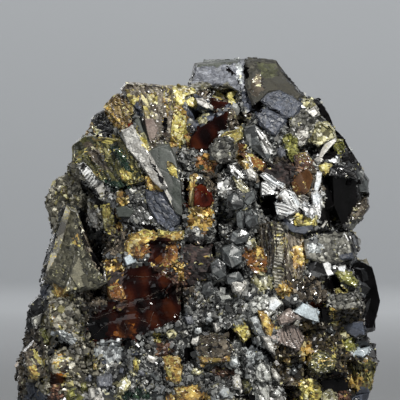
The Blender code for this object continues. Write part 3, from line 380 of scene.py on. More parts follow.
    ("umber", "fine", 60, 0.4, -8, 4, (24, 352, 34, 342, 42, 346, 48, 366, 46, 377, 34, 378, 26, 366)),
    ("lemon", "fine", 60, (31, 350, 35, 349, 45, 362, 43, 366, 36, 360)),
    ("gold", "fine", 60, (27, 366, 34, 364, 41, 376, 36, 381, 28, 377)),
    ("beige", "rough", 0, 0.7, -4, 10, (51, 362, 56, 353, 66, 350, 77, 356, 80, 368, 74, 377, 60, 376, 52,
     372)),
    ("umber", "rough", (60, 361, 67, 360, 70, 368, 65, 374, 59, 370)),
    ("beige", "rough", 40, 0.3, 0, 6, (50, 304, 62, 299, 74, 304, 84, 320, 92, 340, 86, 350, 74, 346, 64,
     338, 56, 330, 49, 318)),
    ("frost", "rough", 30, (50, 332, 60, 330, 72, 334, 80, 342, 70, 346, 58, 340)),
    ("beige", "rough", 80, (70, 356, 82, 360, 82, 382, 74, 396, 66, 392, 68, 376)),
    ("umber", "rough", (14, 362, 20, 352, 27, 356, 28, 370, 24, 392, 14, 392)),
    ("ember", "fine", (49, 374, 62, 372, 63, 382, 52, 386)),
    ("rust", "rough", 60, (50, 386, 60, 385, 61, 402, 54, 402)),
    ("violet", "fine", 0, 0.4, 0, 5, (26, 384, 35, 383, 37, 393, 30, 399)),
    ("green", "fine", 0, 0.3, 0, 8, (81, 384, 86, 381, 88, 388, 83, 391)),
    ("green", "fine", 0, 0.3, 0, 8, (68, 392, 74, 389, 77, 396, 70, 399)),
    # The middle: the grey ball, the orange windows, the blue-grey grains and the red crystal.
    ("ash", "rough", 0, 0.6, 0, 4, (211, 148, 216, 140, 224, 137, 232, 139, 235, 150, 231, 160, 220, 162,
     212, 156)),
    ("lemon", "etched", 150, 0.3, 0, 12, (215, 142, 225, 133, 238, 130, 243, 124, 241, 138, 234, 143, 226,
     138)),
    ("beige", "smooth", 85, 0.3, (234, 142, 237, 143, 238, 164, 235, 165)),
    ("orange", "glassy", (237, 141, 245, 145, 248, 154, 239, 157)),
    ("slate", "rough", (242, 124, 256, 124, 262, 134, 260, 150, 250, 150, 242, 140)),
    ("silver", "rough", (243, 121, 250, 117, 253, 124, 246, 129)),
    ("block", "facet", 0, 0.6, 0, 6, (243, 129, 255, 125, 266, 135, 273, 150, 268, 161, 257, 153, 247,
     145)),
    ("silver", "striae", 62, (256, 129, 264, 132, 271, 144, 272, 154, 268, 158, 262, 150, 258, 139)),
    ("lilac", "fine", 45, 0.5, 0, 20, (262, 152, 270, 154, 270, 161, 264, 160)),
    ("sienna", "rough", 0, 0.2, (196, 157, 209, 154, 216, 162, 213, 171, 202, 172, 196, 166)),
    ("emerald", "smooth", (197, 165, 203, 163, 205, 169, 198, 171)),
    ("umber", "rough", (202, 173, 218, 172, 222, 184, 216, 198, 208, 190)),
    ("red", "facet", 0, 0.7, 10, 5, (195, 187, 201, 184, 206, 187, 213, 199, 211, 205, 203, 208, 194, 205)),
    ("gold", "etched", 95, 0.3, (190, 176, 196, 175, 196, 190, 193, 208, 189, 206)),
    ("maroon", "glassy", (183, 180, 189, 178, 189, 205, 184, 206)),
    ("gold", "rough", (190, 208, 214, 206, 214, 222, 206, 236, 194, 238, 188, 226)),
    ("grey", "fine", 0, 0.3, (189, 229, 197, 227, 202, 231, 200, 238, 191, 237)),
    ("silver", "rough", 50, (217, 177, 229, 174, 240, 184, 238, 194, 228, 198, 217, 190)),
    ("silver", "striae", 42, 0.4, 6, 10, (229, 165, 240, 163, 247, 170, 247, 178, 238, 178, 231, 172)),
    ("cream", "striae", 45, 0.6, 10, 16, (233, 177, 238, 177, 248, 188, 250, 194, 244, 193, 237, 187)),
    ("lilac", "fine", 60, 0.9, 10, 12, (243, 161, 247, 161, 257, 174, 256, 180, 249, 178)),
    ("orange", "glassy", 40, 0.3, 0, 15, (238, 152, 252, 154, 265, 163, 262, 171, 254, 166, 244, 158)),
    ("gold", "rough", (236, 152, 244, 158, 250, 166, 244, 170, 238, 162)),
    ("grey", "coarse", (214, 196, 246, 192, 260, 204, 262, 244, 246, 270, 240, 300, 214, 318, 196, 300, 208,
     282, 216, 262, 212, 226)),
    ("block", "facet", 0, 0.5, -8, 4, (227, 199, 234, 193, 242, 197, 244, 206, 234, 210, 227, 206)),
    ("block", "facet", 0, 0.4, 10, 8, (245, 193, 254, 190, 256, 200, 248, 206, 244, 202)),
    ("block", "facet", 80, 0.6, -10, (236, 212, 243, 211, 245, 222, 243, 230, 237, 226)),
    ("block", "facet", 0, 0.7, 8, 6, (245, 214, 251, 209, 258, 214, 258, 224, 250, 228, 245, 223)),
    ("black", "smooth", (230, 219, 234, 220, 237, 232, 233, 234)),
    ("block", "facet", 20, 0.4, 5, 8, (232, 232, 242, 229, 250, 234, 246, 242, 236, 244, 230, 240)),
    ("cream", "facet", 0, 0.5, 10, 14, (249, 240, 254, 238, 258, 247, 251, 247)),
    ("block", "facet", 0, 0.7, -5, 10, (222, 248, 232, 244, 241, 250, 242, 262, 232, 268, 223, 262)),
    ("block", "facet", 0, 0.6, -14, (211, 264, 218, 258, 225, 264, 226, 276, 218, 280, 212, 274)),
    ("block", "facet", 0, 0.4, 8, 8, (226, 276, 238, 270, 244, 280, 238, 286, 228, 284)),
    ("lilac", "fine", 0, 0.7, -4, 14, (229, 278, 237, 280, 246, 286, 240, 294, 234, 291)),
    ("pearl", "smooth", 0, 0.6, 0, 20, (220, 296, 229, 295, 231, 298, 222, 300)),
    ("block", "facet", 0, 0.5, -6, 4, (203, 284, 212, 280, 214, 292, 207, 298, 202, 293)),
    ("black", "smooth", (226, 262, 232, 268, 244, 266, 246, 262, 249, 268, 240, 273, 228, 272)),
    # The amber crystal of the centre right, the faces painted near-white as painted highlights, and the
    # striped brown crystal.
    ("orange", "smooth", 60, 0.5, 10, 4, (291, 182, 299, 173, 308, 169, 313, 179, 309, 191, 301, 197, 294,
     192)),
    ("plum", "rough", 60, (262, 168, 278, 160, 290, 162, 298, 172, 288, 186, 274, 184)),
    ("black", "smooth", (260, 195, 276, 194, 279, 212, 274, 220, 264, 219, 260, 208)),
    ("white", "striae", 33, 1.0, 12, 16, (260, 175, 267, 174, 275, 179, 285, 184, 283, 188, 276, 187, 268,
     181)),
    ("white", "striae", 36, 1.0, 12, 16, (262, 183, 267, 182, 276, 188, 272, 190, 276, 193, 262, 195)),
    ("white", "striae", 58, 0.8, 4, 10, (279, 195, 285, 190, 294, 194, 300, 204, 297, 212, 289, 206)),
    ("white", "striae", 14, 0.7, 0, 10, (276, 203, 289, 205, 297, 211, 286, 216, 278, 214)),
    ("white", "smooth", 0, 1.3, 20, 5, (317, 172, 322, 173, 321, 182, 318, 191, 314, 190, 316, 180)),
    ("white", "etched", 80, 1.4, 14, 8, (312, 195, 317, 191, 321, 197, 320, 216, 311, 213, 313, 205)),
    ("white", "coarse", 40, 1.2, 8, 16, (299, 205, 305, 203, 311, 208, 315, 212, 312, 217, 304, 212)),
    ("lilac", "striae", 40, 0.7, 0, 10, (295, 196, 303, 195, 308, 198, 306, 204, 299, 203)),
    ("lemon", "fine", 0, 0.4, 0, 6, (291, 217, 300, 213, 310, 217, 317, 215, 316, 225, 308, 228, 298, 225)),
    ("violet", "smooth", 50, 0.8, 5, 10, (282, 213, 286, 213, 289, 222, 296, 228, 312, 225, 313, 229, 304,
     234, 292, 232, 284, 224)),
    ("umber", "striae", 86, 0.3, (258, 226, 274, 222, 277, 256, 272, 270, 264, 262)),
    ("etched", "etched", 86, 0.4, (282, 232, 300, 231, 307, 245, 304, 270, 296, 288, 284, 292)),
    ("beige", "rungs", 14, 0.5, 6, 4, (273, 226, 280, 223, 284, 232, 283, 250, 284, 272, 285, 290, 277, 293,
     273, 272, 275, 248)),
    ("gold", "fine", 70, (290, 247, 304, 243, 309, 256, 302, 268, 294, 268)),
    ("sienna", "rough", 70, 0.3, (243, 249, 252, 245, 261, 248, 267, 262, 264, 276, 255, 273, 247, 262)),
    ("gold", "fine", 70, (256, 246, 262, 249, 264, 260, 258, 262)),
    ("cream", "etched", 70, (252, 275, 262, 270, 272, 275, 273, 288, 262, 293, 253, 286)),
    ("gold", "etched", 70, (276, 285, 290, 279, 298, 272, 294, 292, 285, 300, 276, 296)),
    ("umber", "etched", 70, (282, 262, 292, 264, 294, 280, 284, 284)),
    # The right: the big black facets, the sparkling block and the facets painted near-white as painted
    # highlights.
    ("black", "smooth", (321, 174, 342, 172, 357, 176, 358, 205, 356, 216, 346, 226, 322, 232, 320, 214,
     324, 196)),
    ("dark", "striae", 10, 0.3, (331, 166, 346, 166, 355, 172, 357, 178, 342, 176, 330, 175)),
    ("umber", "fine", 0, 0.4, 16, (349, 215, 357, 204, 367, 198, 368, 208, 360, 220, 351, 221)),
    ("ash", "smooth", (346, 222, 359, 219, 352, 231, 348, 229)),
    ("dark", "striae", 130, (308, 232, 322, 227, 338, 224, 349, 226, 350, 235, 330, 238, 310, 240)),
    ("lilac", "smooth", 0, 0.5, 0, 10, (321, 227, 325, 222, 327, 222, 323, 228)),
    ("ash", "fine", 0, 0.6, (305, 240, 320, 236, 346, 234, 351, 244, 354, 257, 340, 263, 322, 263, 308,
     258)),
    ("frost", "rough", (308, 241, 318, 238, 326, 246, 318, 254, 309, 252)),
    ("violet", "fine", 0, 0.3, 0, 20, (330, 255, 352, 253, 353, 258, 340, 260, 331, 258)),
    ("white", "smooth", 0, 0.9, 12, 10, (343, 234, 345, 233, 349, 240, 348, 242, 345, 240)),
    ("dark", "glassy", (349, 230, 357, 236, 360, 247, 358, 256, 352, 253)),
    ("dark", "smooth", 0, 0.4, -10, 8, (307, 264, 315, 261, 322, 262, 327, 275, 318, 278, 308, 276)),
    ("white", "smooth", 0, 1.2, 16, 14, (321, 262, 327, 261, 331, 264, 331, 270, 334, 274, 328, 276, 325,
     270)),
    ("white", "smooth", 0, 1.2, 16, 14, (333, 266, 336, 265, 336, 269, 333, 269)),
    ("white", "smooth", 0, 1.4, 10, 16, (338, 267, 345, 266, 345, 272, 339, 271)),
    ("black", "smooth", (323, 277, 336, 275, 342, 285, 340, 294, 328, 294)),
    ("green", "fine", 40, 1.4, 10, 10, (336, 273, 338, 270, 346, 271, 354, 276, 359, 283, 356, 287, 349,
     284, 341, 281)),
    ("lemon", "rough", 0, 0.6, 0, 5, (336, 290, 344, 287, 349, 294, 343, 296, 338, 295)),
    ("ash", "rough", 0, 0.6, 0, 10, (328, 298, 340, 294, 356, 293, 362, 305, 352, 309, 338, 308, 326, 305)),
    ("umber", "rough", (290, 282, 305, 276, 319, 279, 327, 290, 327, 301, 314, 304, 298, 302)),
    ("maroon", "smooth", (296, 301, 312, 303, 326, 302, 320, 308, 302, 306)),
    ("sky", "smooth", 0, 1.3, 6, 10, (294, 312, 303, 303, 308, 305, 313, 309, 316, 309, 319, 322, 306,
     318)),
    ("rose", "fine", 60, 1.0, -6, 6, (289, 309, 297, 318, 292, 322, 280, 325, 277, 319, 283, 313)),
    ("black", "smooth", (318, 306, 332, 304, 332, 326, 320, 322)),
    ("peat", "rough", (330, 308, 362, 308, 364, 326, 334, 328)),
    ("black", "smooth", (350, 260, 364, 261, 372, 266, 375, 283, 382, 302, 381, 320, 376, 332, 364, 333,
     364, 310, 361, 294, 358, 282, 350, 272)),
    ("violet", "smooth", 80, 0.4, 8, (344, 326, 352, 322, 363, 322, 365, 335, 358, 339, 348, 333)),
    ("dark", "glassy", (356, 337, 366, 333, 378, 348, 381, 362, 370, 358, 358, 346)),
    ("green", "rough", (344, 341, 355, 338, 357, 349, 346, 352)),
    ("sky", "smooth", 0, 0.9, 6, 12, (350, 352, 358, 350, 369, 347, 368, 353, 363, 357, 356, 355)),
    ("cream", "smooth", 0, 0.6, 6, 10, (340, 334, 346, 332, 347, 338, 341, 339)),
    ("olive", "fine", 0, 0.8, 4, 10, (309, 358, 317, 352, 328, 353, 336, 362, 333, 371, 320, 375, 309,
     368)),
    ("black", "smooth", (322, 375, 334, 370, 350, 374, 353, 388, 336, 393, 323, 389)),
    ("olive", "rough", (350, 367, 362, 360, 374, 360, 374, 378, 370, 390, 356, 388)),
    ("gold", "rough", (348, 378, 358, 372, 364, 384, 356, 392)),
    ("gold", "rough", 60, (299, 342, 308, 336, 314, 352, 310, 364, 302, 362)),
    ("violet", "smooth", 80, (356, 389, 368, 387, 366, 402, 354, 402)),
    # The bottom middle and right.
    ("pearl", "rough", 125, 0.9, 8, 10, (250, 304, 256, 298, 268, 294, 276, 297, 282, 304, 276, 310, 268,
     317, 262, 312, 254, 312)),
    ("white", "smooth", 125, 1.2, 8, 14, (270, 300, 276, 298, 281, 304, 274, 311, 269, 309)),
    ("gold", "fine", 80, 0.4, 4, (258, 311, 266, 312, 273, 325, 272, 340, 263, 330)),
    ("frost", "fine", 60, 0.4, -6, 6, (250, 318, 257, 316, 262, 328, 266, 338, 256, 334)),
    ("lilac", "fine", 60, 0.6, -4, 8, (262, 336, 269, 338, 273, 345, 275, 354, 269, 350)),
    ("black", "smooth", (250, 330, 254, 332, 262, 346, 276, 358, 276, 366, 264, 356, 254, 344)),
    ("lilac", "fine", 0, 0.8, 10, 10, (256, 353, 262, 352, 263, 358, 260, 363, 257, 359)),
    ("rose", "striae", 70, 0.7, 6, 4, (276, 328, 286, 325, 297, 327, 303, 340, 299, 350, 288, 346, 278,
     342)),
    ("frost", "rough", (243, 342, 256, 338, 264, 350, 268, 366, 250, 372, 246, 356)),
    ("pearl", "etched", 72, 0.6, -4, 6, (255, 366, 262, 362, 269, 366, 270, 380, 262, 382, 256, 376)),
    ("pearl", "etched", 66, 0.8, 0, 8, (254, 384, 261, 380, 268, 386, 269, 402, 262, 402)),
    ("silver", "rough", 60, 0.7, 10, 6, (268, 380, 276, 381, 284, 392, 285, 402, 270, 402)),
    ("lilac", "fine", 50, 0.8, 6, 8, (271, 368, 275, 369, 280, 378, 278, 381, 273, 377)),
    ("olive", "fine", 60, 0.5, -4, 4, (242, 381, 248, 379, 252, 388, 249, 393, 244, 389)),
    ("umber", "fine", 0, 0.5, -4, 10, (200, 338, 214, 334, 228, 338, 234, 350, 224, 358, 206, 359, 199,
     350)),
    ("gold", "fine", 10, 0.2, 0, 6, (199, 357, 216, 356, 230, 354, 229, 361, 212, 363, 201, 363)),
    ("rust", "rough", (208, 367, 230, 367, 238, 374, 226, 378, 212, 374)),
    ("lilac", "fine", 80, 0.7, -6, 8, (232, 377, 239, 374, 241, 385, 241, 390, 233, 388)),
    ("lilac", "fine", 0, 0.4, -4, 8, (213, 323, 219, 321, 221, 329, 216, 332)),
    ("black", "smooth", (236, 397, 246, 394, 262, 404, 238, 404)),
    ("lemon", "rough", 0, 0.5, 0, 8, (233, 326, 241, 322, 248, 326, 250, 334, 244, 341, 238, 332)),
    ("black", "smooth", (222, 330, 232, 328, 236, 340, 228, 342)),
    ("silver", "smooth", 0, 0.5, 0, 10, (226, 323, 230, 321, 232, 325, 228, 329)),
    ("lemon", "rough", (300, 380, 310, 378, 322, 384, 318, 402, 300, 402)),
    ("cream", "fine", 0, 0.6, 4, 8, (321, 393, 328, 389, 337, 394, 338, 402, 322, 402)),
    ("rust", "fine", (337, 394, 350, 392, 352, 402, 338, 402)),
)

# Thin pale cracks across the amber window, each a row of pixel corners.
CRACKS = (
    (88, 317, 96, 318, 106, 314, 116, 311, 124, 306),
    (94, 336, 101, 329, 106, 325, 111, 322),
    (126, 305, 138, 300, 150, 295, 160, 290),
    (146, 298, 156, 293, 164, 289, 167, 292, 168, 299),
    (138, 302, 146, 300, 158, 297),
    (138, 316, 142, 321, 149, 323),
    (150, 325, 152, 316, 154, 311),
    (140, 309, 146, 309, 151, 308),
    (124, 338, 126, 328, 125, 322),
    (132, 276, 142, 277, 152, 276, 160, 278),
    (146, 252, 149, 257, 153, 253),
    (166, 263, 176, 262, 178, 270),
)


def linear(display):
    """Colours from display values of 0 to 255 to linear light."""
    share = np.asarray(display, float) / 255
    return np.where(share <= 0.04045, share / 12.92, ((share + 0.055) / 1.055) ** 2.4)


# The factors of a common whole-number hash.
CELL_FACTORS = (73856093, 19349663, 83492791)
SALT_FACTOR = 40503
SALT_START = 977
MIXERS = ((15, 2246822519), (13, 3266489917))
LAST_SHIFT = 16


def hashed(cells, salt):
    """A number from 0 to 1 for each row of whole numbers, always the same for the same row. Salts, here
    and in waves, are arbitrary numbers that keep random choices apart."""
    mixed = salt * SALT_FACTOR + SALT_START
    for column, factor in zip(cells.T, CELL_FACTORS):
        mixed = mixed ^ (column * factor)
    for shift, factor in MIXERS:
        mixed = (mixed ^ (mixed >> shift)) * factor & 0xFFFFFFFF
    mixed = mixed ^ (mixed >> LAST_SHIFT)
    return (mixed & 0xFFFFFF) / 0x1000000


WAVES = 7
WAVE_SPREAD = (0.6, 1.5)
FAR_AWAY = 99.0


def waves(points, length, salt):
    """A smooth random field over points, of about the given wave length, mostly between -2 and 2."""
    rng = np.random.default_rng(SEED * 1000 + salt)
    total = np.zeros(len(points))
    for _ in range(WAVES):
        way = rng.normal(size=3)
        way *= 2 * math.pi / length * rng.uniform(*WAVE_SPREAD) / np.linalg.norm(way)
        total += np.sin(points @ way + rng.uniform(0, 2 * math.pi))
    return total / math.sqrt(WAVES / 2)


def cells_at(places, salt):
    """The random cell each place falls in: its whole numbers, the way from its middle, and how far the
    next cell is."""
    base = np.floor(places).astype(np.int64)
    nearest = np.full(len(places), FAR_AWAY)
    second = nearest.copy()
    cell_found = base.copy()
    away_found = np.zeros_like(places)
    for step in itertools.product((-1, 0, 1), repeat=3):
        cell = base + np.array(step)
        middle = cell + np.column_stack([hashed(cell, salt + k) for k in range(3)])
        away = places - middle
        far = (away ** 2).sum(axis=1)
        closer = far < nearest
        second = np.where(closer, nearest, np.minimum(second, far))
        nearest[closer] = far[closer]
        cell_found[closer] = cell[closer]
        away_found[closer] = away[closer]
    return cell_found, away_found, np.sqrt(second) - np.sqrt(nearest)


def summed_shares(kinds):
    """How the shares of (family, share) pairs add up, from 0 to 1."""
    shares = [share for _, share in kinds]
    return np.cumsum(shares) / sum(shares)


def lengths(ways):
    """The lengths of rows of vectors."""
    return np.linalg.norm(ways, axis=1)


def edge_ends(faces):
    """The points of every face's first edge, then of the second and third ones, the lower number first."""
    ends = np.vstack([faces[:, (0, 1)], faces[:, (1, 2)], faces[:, (2, 0)]])
    ends.sort(axis=1)
    return ends


MOST_SPLITS = 12
TINY = 1e-12


def refine(points, faces, parents, longest):
    """Splits edges at their middles until none is longer than longest(middles) allows."""
    for _ in range(MOST_SPLITS):
        edges, places = np.unique(edge_ends(faces), axis=0, return_inverse=True)
        places = places.reshape(-1)
        middles = (points[edges[:, 0]] + points[edges[:, 1]]) / 2
        split = lengths(points[edges[:, 0]] - points[edges[:, 1]]) > longest(middles)
        if not split.any():
            break
        number = np.full(len(edges), -1)
        number[split] = len(points) + np.arange(split.sum())
        points = np.vstack([points, middles[split]])
        cut = number[places].reshape(3, -1).T
        count = (cut >= 0).sum(axis=1)
        made = [faces[count == 0]]
        source = [parents[count == 0]]
        for turn in range(3):
            a, b, c = (faces[:, (turn + k) % 3] for k in range(3))
            ab, bc, ca = (cut[:, (turn + k) % 3] for k in range(3))
            one = (count == 1) & (ab >= 0)
            two = (count == 2) & (ca < 0)
            every = (count == 3) if turn == 0 else np.zeros(len(faces), bool)
            for where, triangles in (
                (one, ((a, ab, c), (ab, b, c))),
                (two, ((ab, b, bc), (a, ab, bc), (a, bc, c))),
                (every, ((a, ab, ca), (ab, b, bc), (ca, bc, c), (ab, bc, ca))),
            ):
                for triangle in triangles:
                    made.append(np.column_stack([corner[where] for corner in triangle]))
                    source.append(parents[where])
        faces = np.vstack(made)
        parents = np.concatenate(source)
    return points, faces, parents


def normals_of(points, faces):
    """Unit normals of the faces and of the points."""
    a, b, c = (points[faces[:, k]] for k in range(3))
    across = np.cross(b - a, c - a)
    at_points = np.zeros_like(points)
    for k in range(3):
        np.add.at(at_points, faces[:, k], across)
    at_points /= np.maximum(lengths(at_points), TINY)[:, None]
    return across / np.maximum(lengths(across), TINY)[:, None], at_points


def refined(points, faces, longest):
    """A finer mesh: its points and faces, the face that each came from, the points' outward ways, and the
    normals of the unrefined faces at the points and at the faces."""
    flat = normals_of(points, faces)[0]
    points, faces, parents = refine(points, faces, np.arange(len(faces)), longest)
    outward = normals_of(points, faces)[1]
    point_planes = outward.copy()
    for k in range(3):
        point_planes[faces[:, k]] = flat[parents]
    return points, faces, parents, outward, point_planes, flat[parents]


def to_pixels(points):
    """Columns and rows in the photograph of points in millimetres."""
    near = CAMERA_DISTANCE / (CAMERA_DISTANCE + points[:, 1])
    columns = FRAME_PIXELS / 2 + (points[:, 0] - CAMERA_X) * near / PIXEL
    rows = FRAME_PIXELS / 2 - (points[:, 2] - CAMERA_Z) * near / PIXEL
    return columns, rows


def ray_through(column, row):
    """The camera's place and the direction of its ray through a pixel."""
    start = Vector((CAMERA_X, -CAMERA_DISTANCE, CAMERA_Z))
    x = CAMERA_X + (column - FRAME_PIXELS / 2) * PIXEL
    z = CAMERA_Z - (row - FRAME_PIXELS / 2) * PIXEL
    return start, (Vector((x, 0, z)) - start).normalized()


def inside(columns, rows, corners):
    """Which places lie within an outline."""
    within = np.zeros(columns.shape, bool)
    previous = corners[-1]
    for corner in corners:
        (x1, y1), (x2, y2) = previous, corner
        if y1 != y2:
            crosses = (y1 > rows) != (y2 > rows)
            within ^= crosses & (columns < (x2 - x1) * (rows - y1) / (y2 - y1) + x1)
        previous = corner
    return within


def pairs(flat):
    """Corners from a row of columns and rows."""
    return tuple(zip(flat[::2], flat[1::2]))


Outline = namedtuple("Outline", "family relief angle lift turn up corners")


def outline(family, relief, *rest):
    """An outline from its row."""
    *numbers, flat = rest
    angle, lift, turn, up = (*numbers, 0, 0, 0, 0)[:4]
    return Outline(family, relief, angle, lift, turn, up, pairs(flat))


def painted_outlines(regions):
    """The number of the last outline over each pixel."""
    columns, rows = np.meshgrid(np.arange(FRAME_PIXELS) + 0.5, np.arange(FRAME_PIXELS) + 0.5)
    painted = np.zeros((FRAME_PIXELS, FRAME_PIXELS), int)
    for number, region in enumerate(regions):
        painted[inside(columns, rows, region.corners)] = number
    return painted


OUTLINES = tuple(itertools.starmap(outline, OUTLINE_ROWS))
GROUND_REGIONS = 2  # as many of the first outlines are plain ground that the edge's outlines grow over
PLAIN_REGIONS = 5  # and as many are plain ground that small crystals lie on

# Small crystals on the plain ground, as (family of the ground, families and shares of the crystals).
PLATES = {
    "grey": (("block", 5), ("haze", 2), ("violet", 2), ("ash", 4), ("frost", 3), ("cream", 2), ("lilac", 2),
             ("dark", 2)),
    "beige": (("beige", 3), ("ash", 3), ("cream", 2), ("green", 2), ("olive", 2), ("haze", 1), ("umber", 2)),
    "umber": (("umber", 3), ("block", 1), ("cream", 1), ("dark", 2), ("brown", 2)),
    "peat": (("dark", 2), ("block", 3), ("umber", 3), ("brown", 2), ("olive", 1), ("silver", 1)),
}
PLATE_TRIES = 900
PLATE_FRAME = (22, 66, 378, 396)  # left, top, right and bottom
PLATE_REACH = (2.6, 6.4)  # in pixels
PLATE_SIDES = (4, 7)  # from the first to below the second
PLATE_JITTER = 0.25
PLATE_SQUASH = (0.55, 0.14)
PLATE_LIFT = (0.3, 0.8)
PLATE_TURN = (-20, 20)
PLATE_UP = (-4, 20)
PLATE_ROOM = 0.9
FACET_REACH = 3.4  # larger ones have facets


def plate_outlines():
    """Outlines of small crystals spread over the plain ground, none over another."""
    rng = np.random.default_rng(SEED + 4)
    painted = painted_outlines(OUTLINES)
    placed = []
    plates = []
    left, top, right, bottom = PLATE_FRAME
    for _ in range(PLATE_TRIES):
        column = rng.uniform(left, right)
        row = rng.uniform(top, bottom)
        reach = rng.uniform(*PLATE_REACH)
        sides = rng.integers(*PLATE_SIDES)
        turn, squash, tilt = rng.uniform(0, math.pi, 3)
        corners = []
        for k in range(sides):
            around = turn + 2 * math.pi * (k + rng.uniform(-PLATE_JITTER, PLATE_JITTER)) / sides
            along = math.cos(around) * reach
            across = math.sin(around) * reach * (PLATE_SQUASH[0] + PLATE_SQUASH[1] * squash)
            corners.append((round(column + along * math.cos(tilt) - across * math.sin(tilt), 1),
                            round(row + along * math.sin(tilt) + across * math.cos(tilt), 1)))
        lift = rng.uniform(*PLATE_LIFT)
        aside = rng.uniform(*PLATE_TURN)
        up = rng.uniform(*PLATE_UP)
        pick = rng.random()
        crowded = any(math.hypot(column - x, row - y) < PLATE_ROOM * (reach + other)
                      for x, y, other in placed)
        spots = [painted[int(min(y, FRAME_PIXELS - 1)), int(x)] for x, y in (*corners, (column, row))]
        if crowded or max(spots) >= PLAIN_REGIONS:
            continue
        placed.append((column, row, reach))
        kinds = PLATES[OUTLINES[spots[-1]].family]
        family = kinds[int(np.searchsorted(summed_shares(kinds), pick))][0]
        relief = "facet" if reach > FACET_REACH else "fine"
        plates.append(Outline(family, relief, 0, lift, aside, up, tuple(corners)))
    return tuple(plates)


EDGE_STEP = 2
EDGE_BAND = 7
EDGE_SPREAD = 8
NEIGHBOURS = ((1, 0), (-1, 0), (1, 1), (-1, 1))  # as shifts and axes


def grown_to_edge(painted, tree):
    """Carries the outlines nearest to the specimen's edge over what plain ground is left there."""
    away = np.ones(painted.shape, bool)
    for row in range(0, FRAME_PIXELS, EDGE_STEP):
        for column in range(0, FRAME_PIXELS, EDGE_STEP):
            hit = tree.ray_cast(*ray_through(column + EDGE_STEP / 2, row + EDGE_STEP / 2))[0]
            away[row:row + EDGE_STEP, column:column + EDGE_STEP] = hit is None
    for _ in range(EDGE_BAND):
        away = np.logical_or.reduce([away, *(np.roll(away, shift, axis) for shift, axis in NEIGHBOURS)])
    grown = painted.copy()
    for _ in range(EDGE_BAND + EDGE_SPREAD):
        for shift, axis in NEIGHBOURS:
            beside = np.roll(grown, shift, axis)
            taken = (grown < GROUND_REGIONS) & away & (beside >= GROUND_REGIONS)
            grown[taken] = beside[taken]
    return grown


def numbers_of(*names):
    """The numbers of some families."""
    return [NAMES.index(name) for name in names]


REGIONS = OUTLINES + plate_outlines()
PAINTED = painted_outlines(REGIONS)
RELIEF_NAMES = tuple(RELIEFS)
RELIEF_TABLE = np.array(list(RELIEFS.values()))
REGION_FAMILY = np.array([NAMES.index(region.family) for region in REGIONS])
REGION_RELIEF = np.array([RELIEF_NAMES.index(region.relief) for region in REGIONS])
REGION_ANGLE = np.array([math.radians(region.angle) for region in REGIONS])
UNRAISED = np.array([region.lift == 0 for region in REGIONS])
FAMILY_ROUGHNESS = np.array([roughness for _, roughness, _, _ in FAMILIES.values()])
FAMILY_GRAIN = np.array([grain for _, _, grain, _ in FAMILIES.values()])
FAMILY_RELIEF = np.array([RELIEF_NAMES.index(relief) for _, _, _, relief in FAMILIES.values()])
VITREOUS = numbers_of("maroon", "black", "red", "ember")
LEMON, GOLD, CREAM = numbers_of("lemon", "gold", "cream")
PALE_DUSTED = numbers_of("grey", "ash", "frost", "dark", "lilac", "umber", "moss")
DUST = np.array([DUSTING.get(name, (0, 0)) for name in NAMES], float)
CREVICE_PAINTED_SHADES = np.array([CREVICE_PAINTED_SHADE.get(name, 1.0) for name in RELIEF_NAMES])
OTHER_FAMILIES = np.array(numbers_of(*(name for name, _ in ELSEWHERE)))
OTHER_SHARES = summed_shares(ELSEWHERE)


def region_at(columns, rows):
    """The number of the outline at each place of the photograph, or at the nearest place in its frame."""
    rows, columns = (np.clip(values, 0, FRAME_PIXELS - 1).astype(int) for values in (rows, columns))
    return PAINTED[rows, columns]


def tone_table():
    """Every family's tones side by side, and how their shares add up."""
    widest = max(len(tones) for tones, *_ in FAMILIES.values())
    colours = np.zeros((len(NAMES), widest, 3))
    shares = np.ones((len(NAMES), widest)) * 2
    for row, (tones, *_) in enumerate(FAMILIES.values()):
        tones = np.array(tones, float)
        colours[row, :len(tones)] = linear(tones[:, :3])
        shares[row, :len(tones)] = np.cumsum(tones[:, 3]) / tones[:, 3].sum()
    return colours, shares


TONES, SHARES = tone_table()
DARKEST_SHADE = 0.72
SHADE_RANGE = 0.56


def tones_for(family, pick, shade):
    """A colour for each family number, picked by one random number and lightened or darkened by another.
    The tones of glassy families run into one another."""
    chosen = (SHARES[family] < pick[:, None]).sum(axis=1)
    below = np.where(chosen > 0, SHARES[family, np.maximum(chosen - 1, 0)], 0.0)
    share = np.where(np.isin(family, VITREOUS), (pick - below) / (SHARES[family, chosen] - below), 0.0)
    following = np.minimum(chosen + 1, (SHARES[family] < 1).sum(axis=1))
    mixed = TONES[family, chosen] * (1 - share)[:, None] + TONES[family, following] * share[:, None]
    return mixed * (DARKEST_SHADE + SHADE_RANGE * shade)[:, None]


def new_piece(name, points, faces, colours, roughness, glassy, materials):
    """A mesh object from points in millimetres, with a colour and a roughness for each face."""
    mesh = bpy.data.meshes.new(name)
    mesh.vertices.add(len(points))
    mesh.vertices.foreach_set("co", (points * MM).astype(np.float32).ravel())
    mesh.loops.add(len(faces) * 3)
    mesh.loops.foreach_set("vertex_index", faces.astype(np.int32).ravel())
    mesh.polygons.add(len(faces))
    mesh.polygons.foreach_set("loop_start", (np.arange(len(faces)) * 3).astype(np.int32))
    mesh.polygons.foreach_set("loop_total", np.full(len(faces), 3, np.int32))
    mesh.update(calc_edges=True)
    mesh.polygons.foreach_set("use_smooth", np.zeros(len(faces), bool))
    for material in materials:
        mesh.materials.append(material)
    mesh.polygons.foreach_set("material_index", glassy.astype(np.int32))
    tone = mesh.attributes.new("tone", "FLOAT_COLOR", "CORNER")
    values = np.column_stack([np.clip(colours, 0, 1), roughness])
    tone.data.foreach_set("color", np.repeat(values, 3, axis=0).astype(np.float32).ravel())
    mesh.update()
    made = bpy.data.objects.new(name, mesh)
    bpy.context.scene.collection.objects.link(made)
    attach(made, "root")
    return made


WELD = 1e-7  # in metres


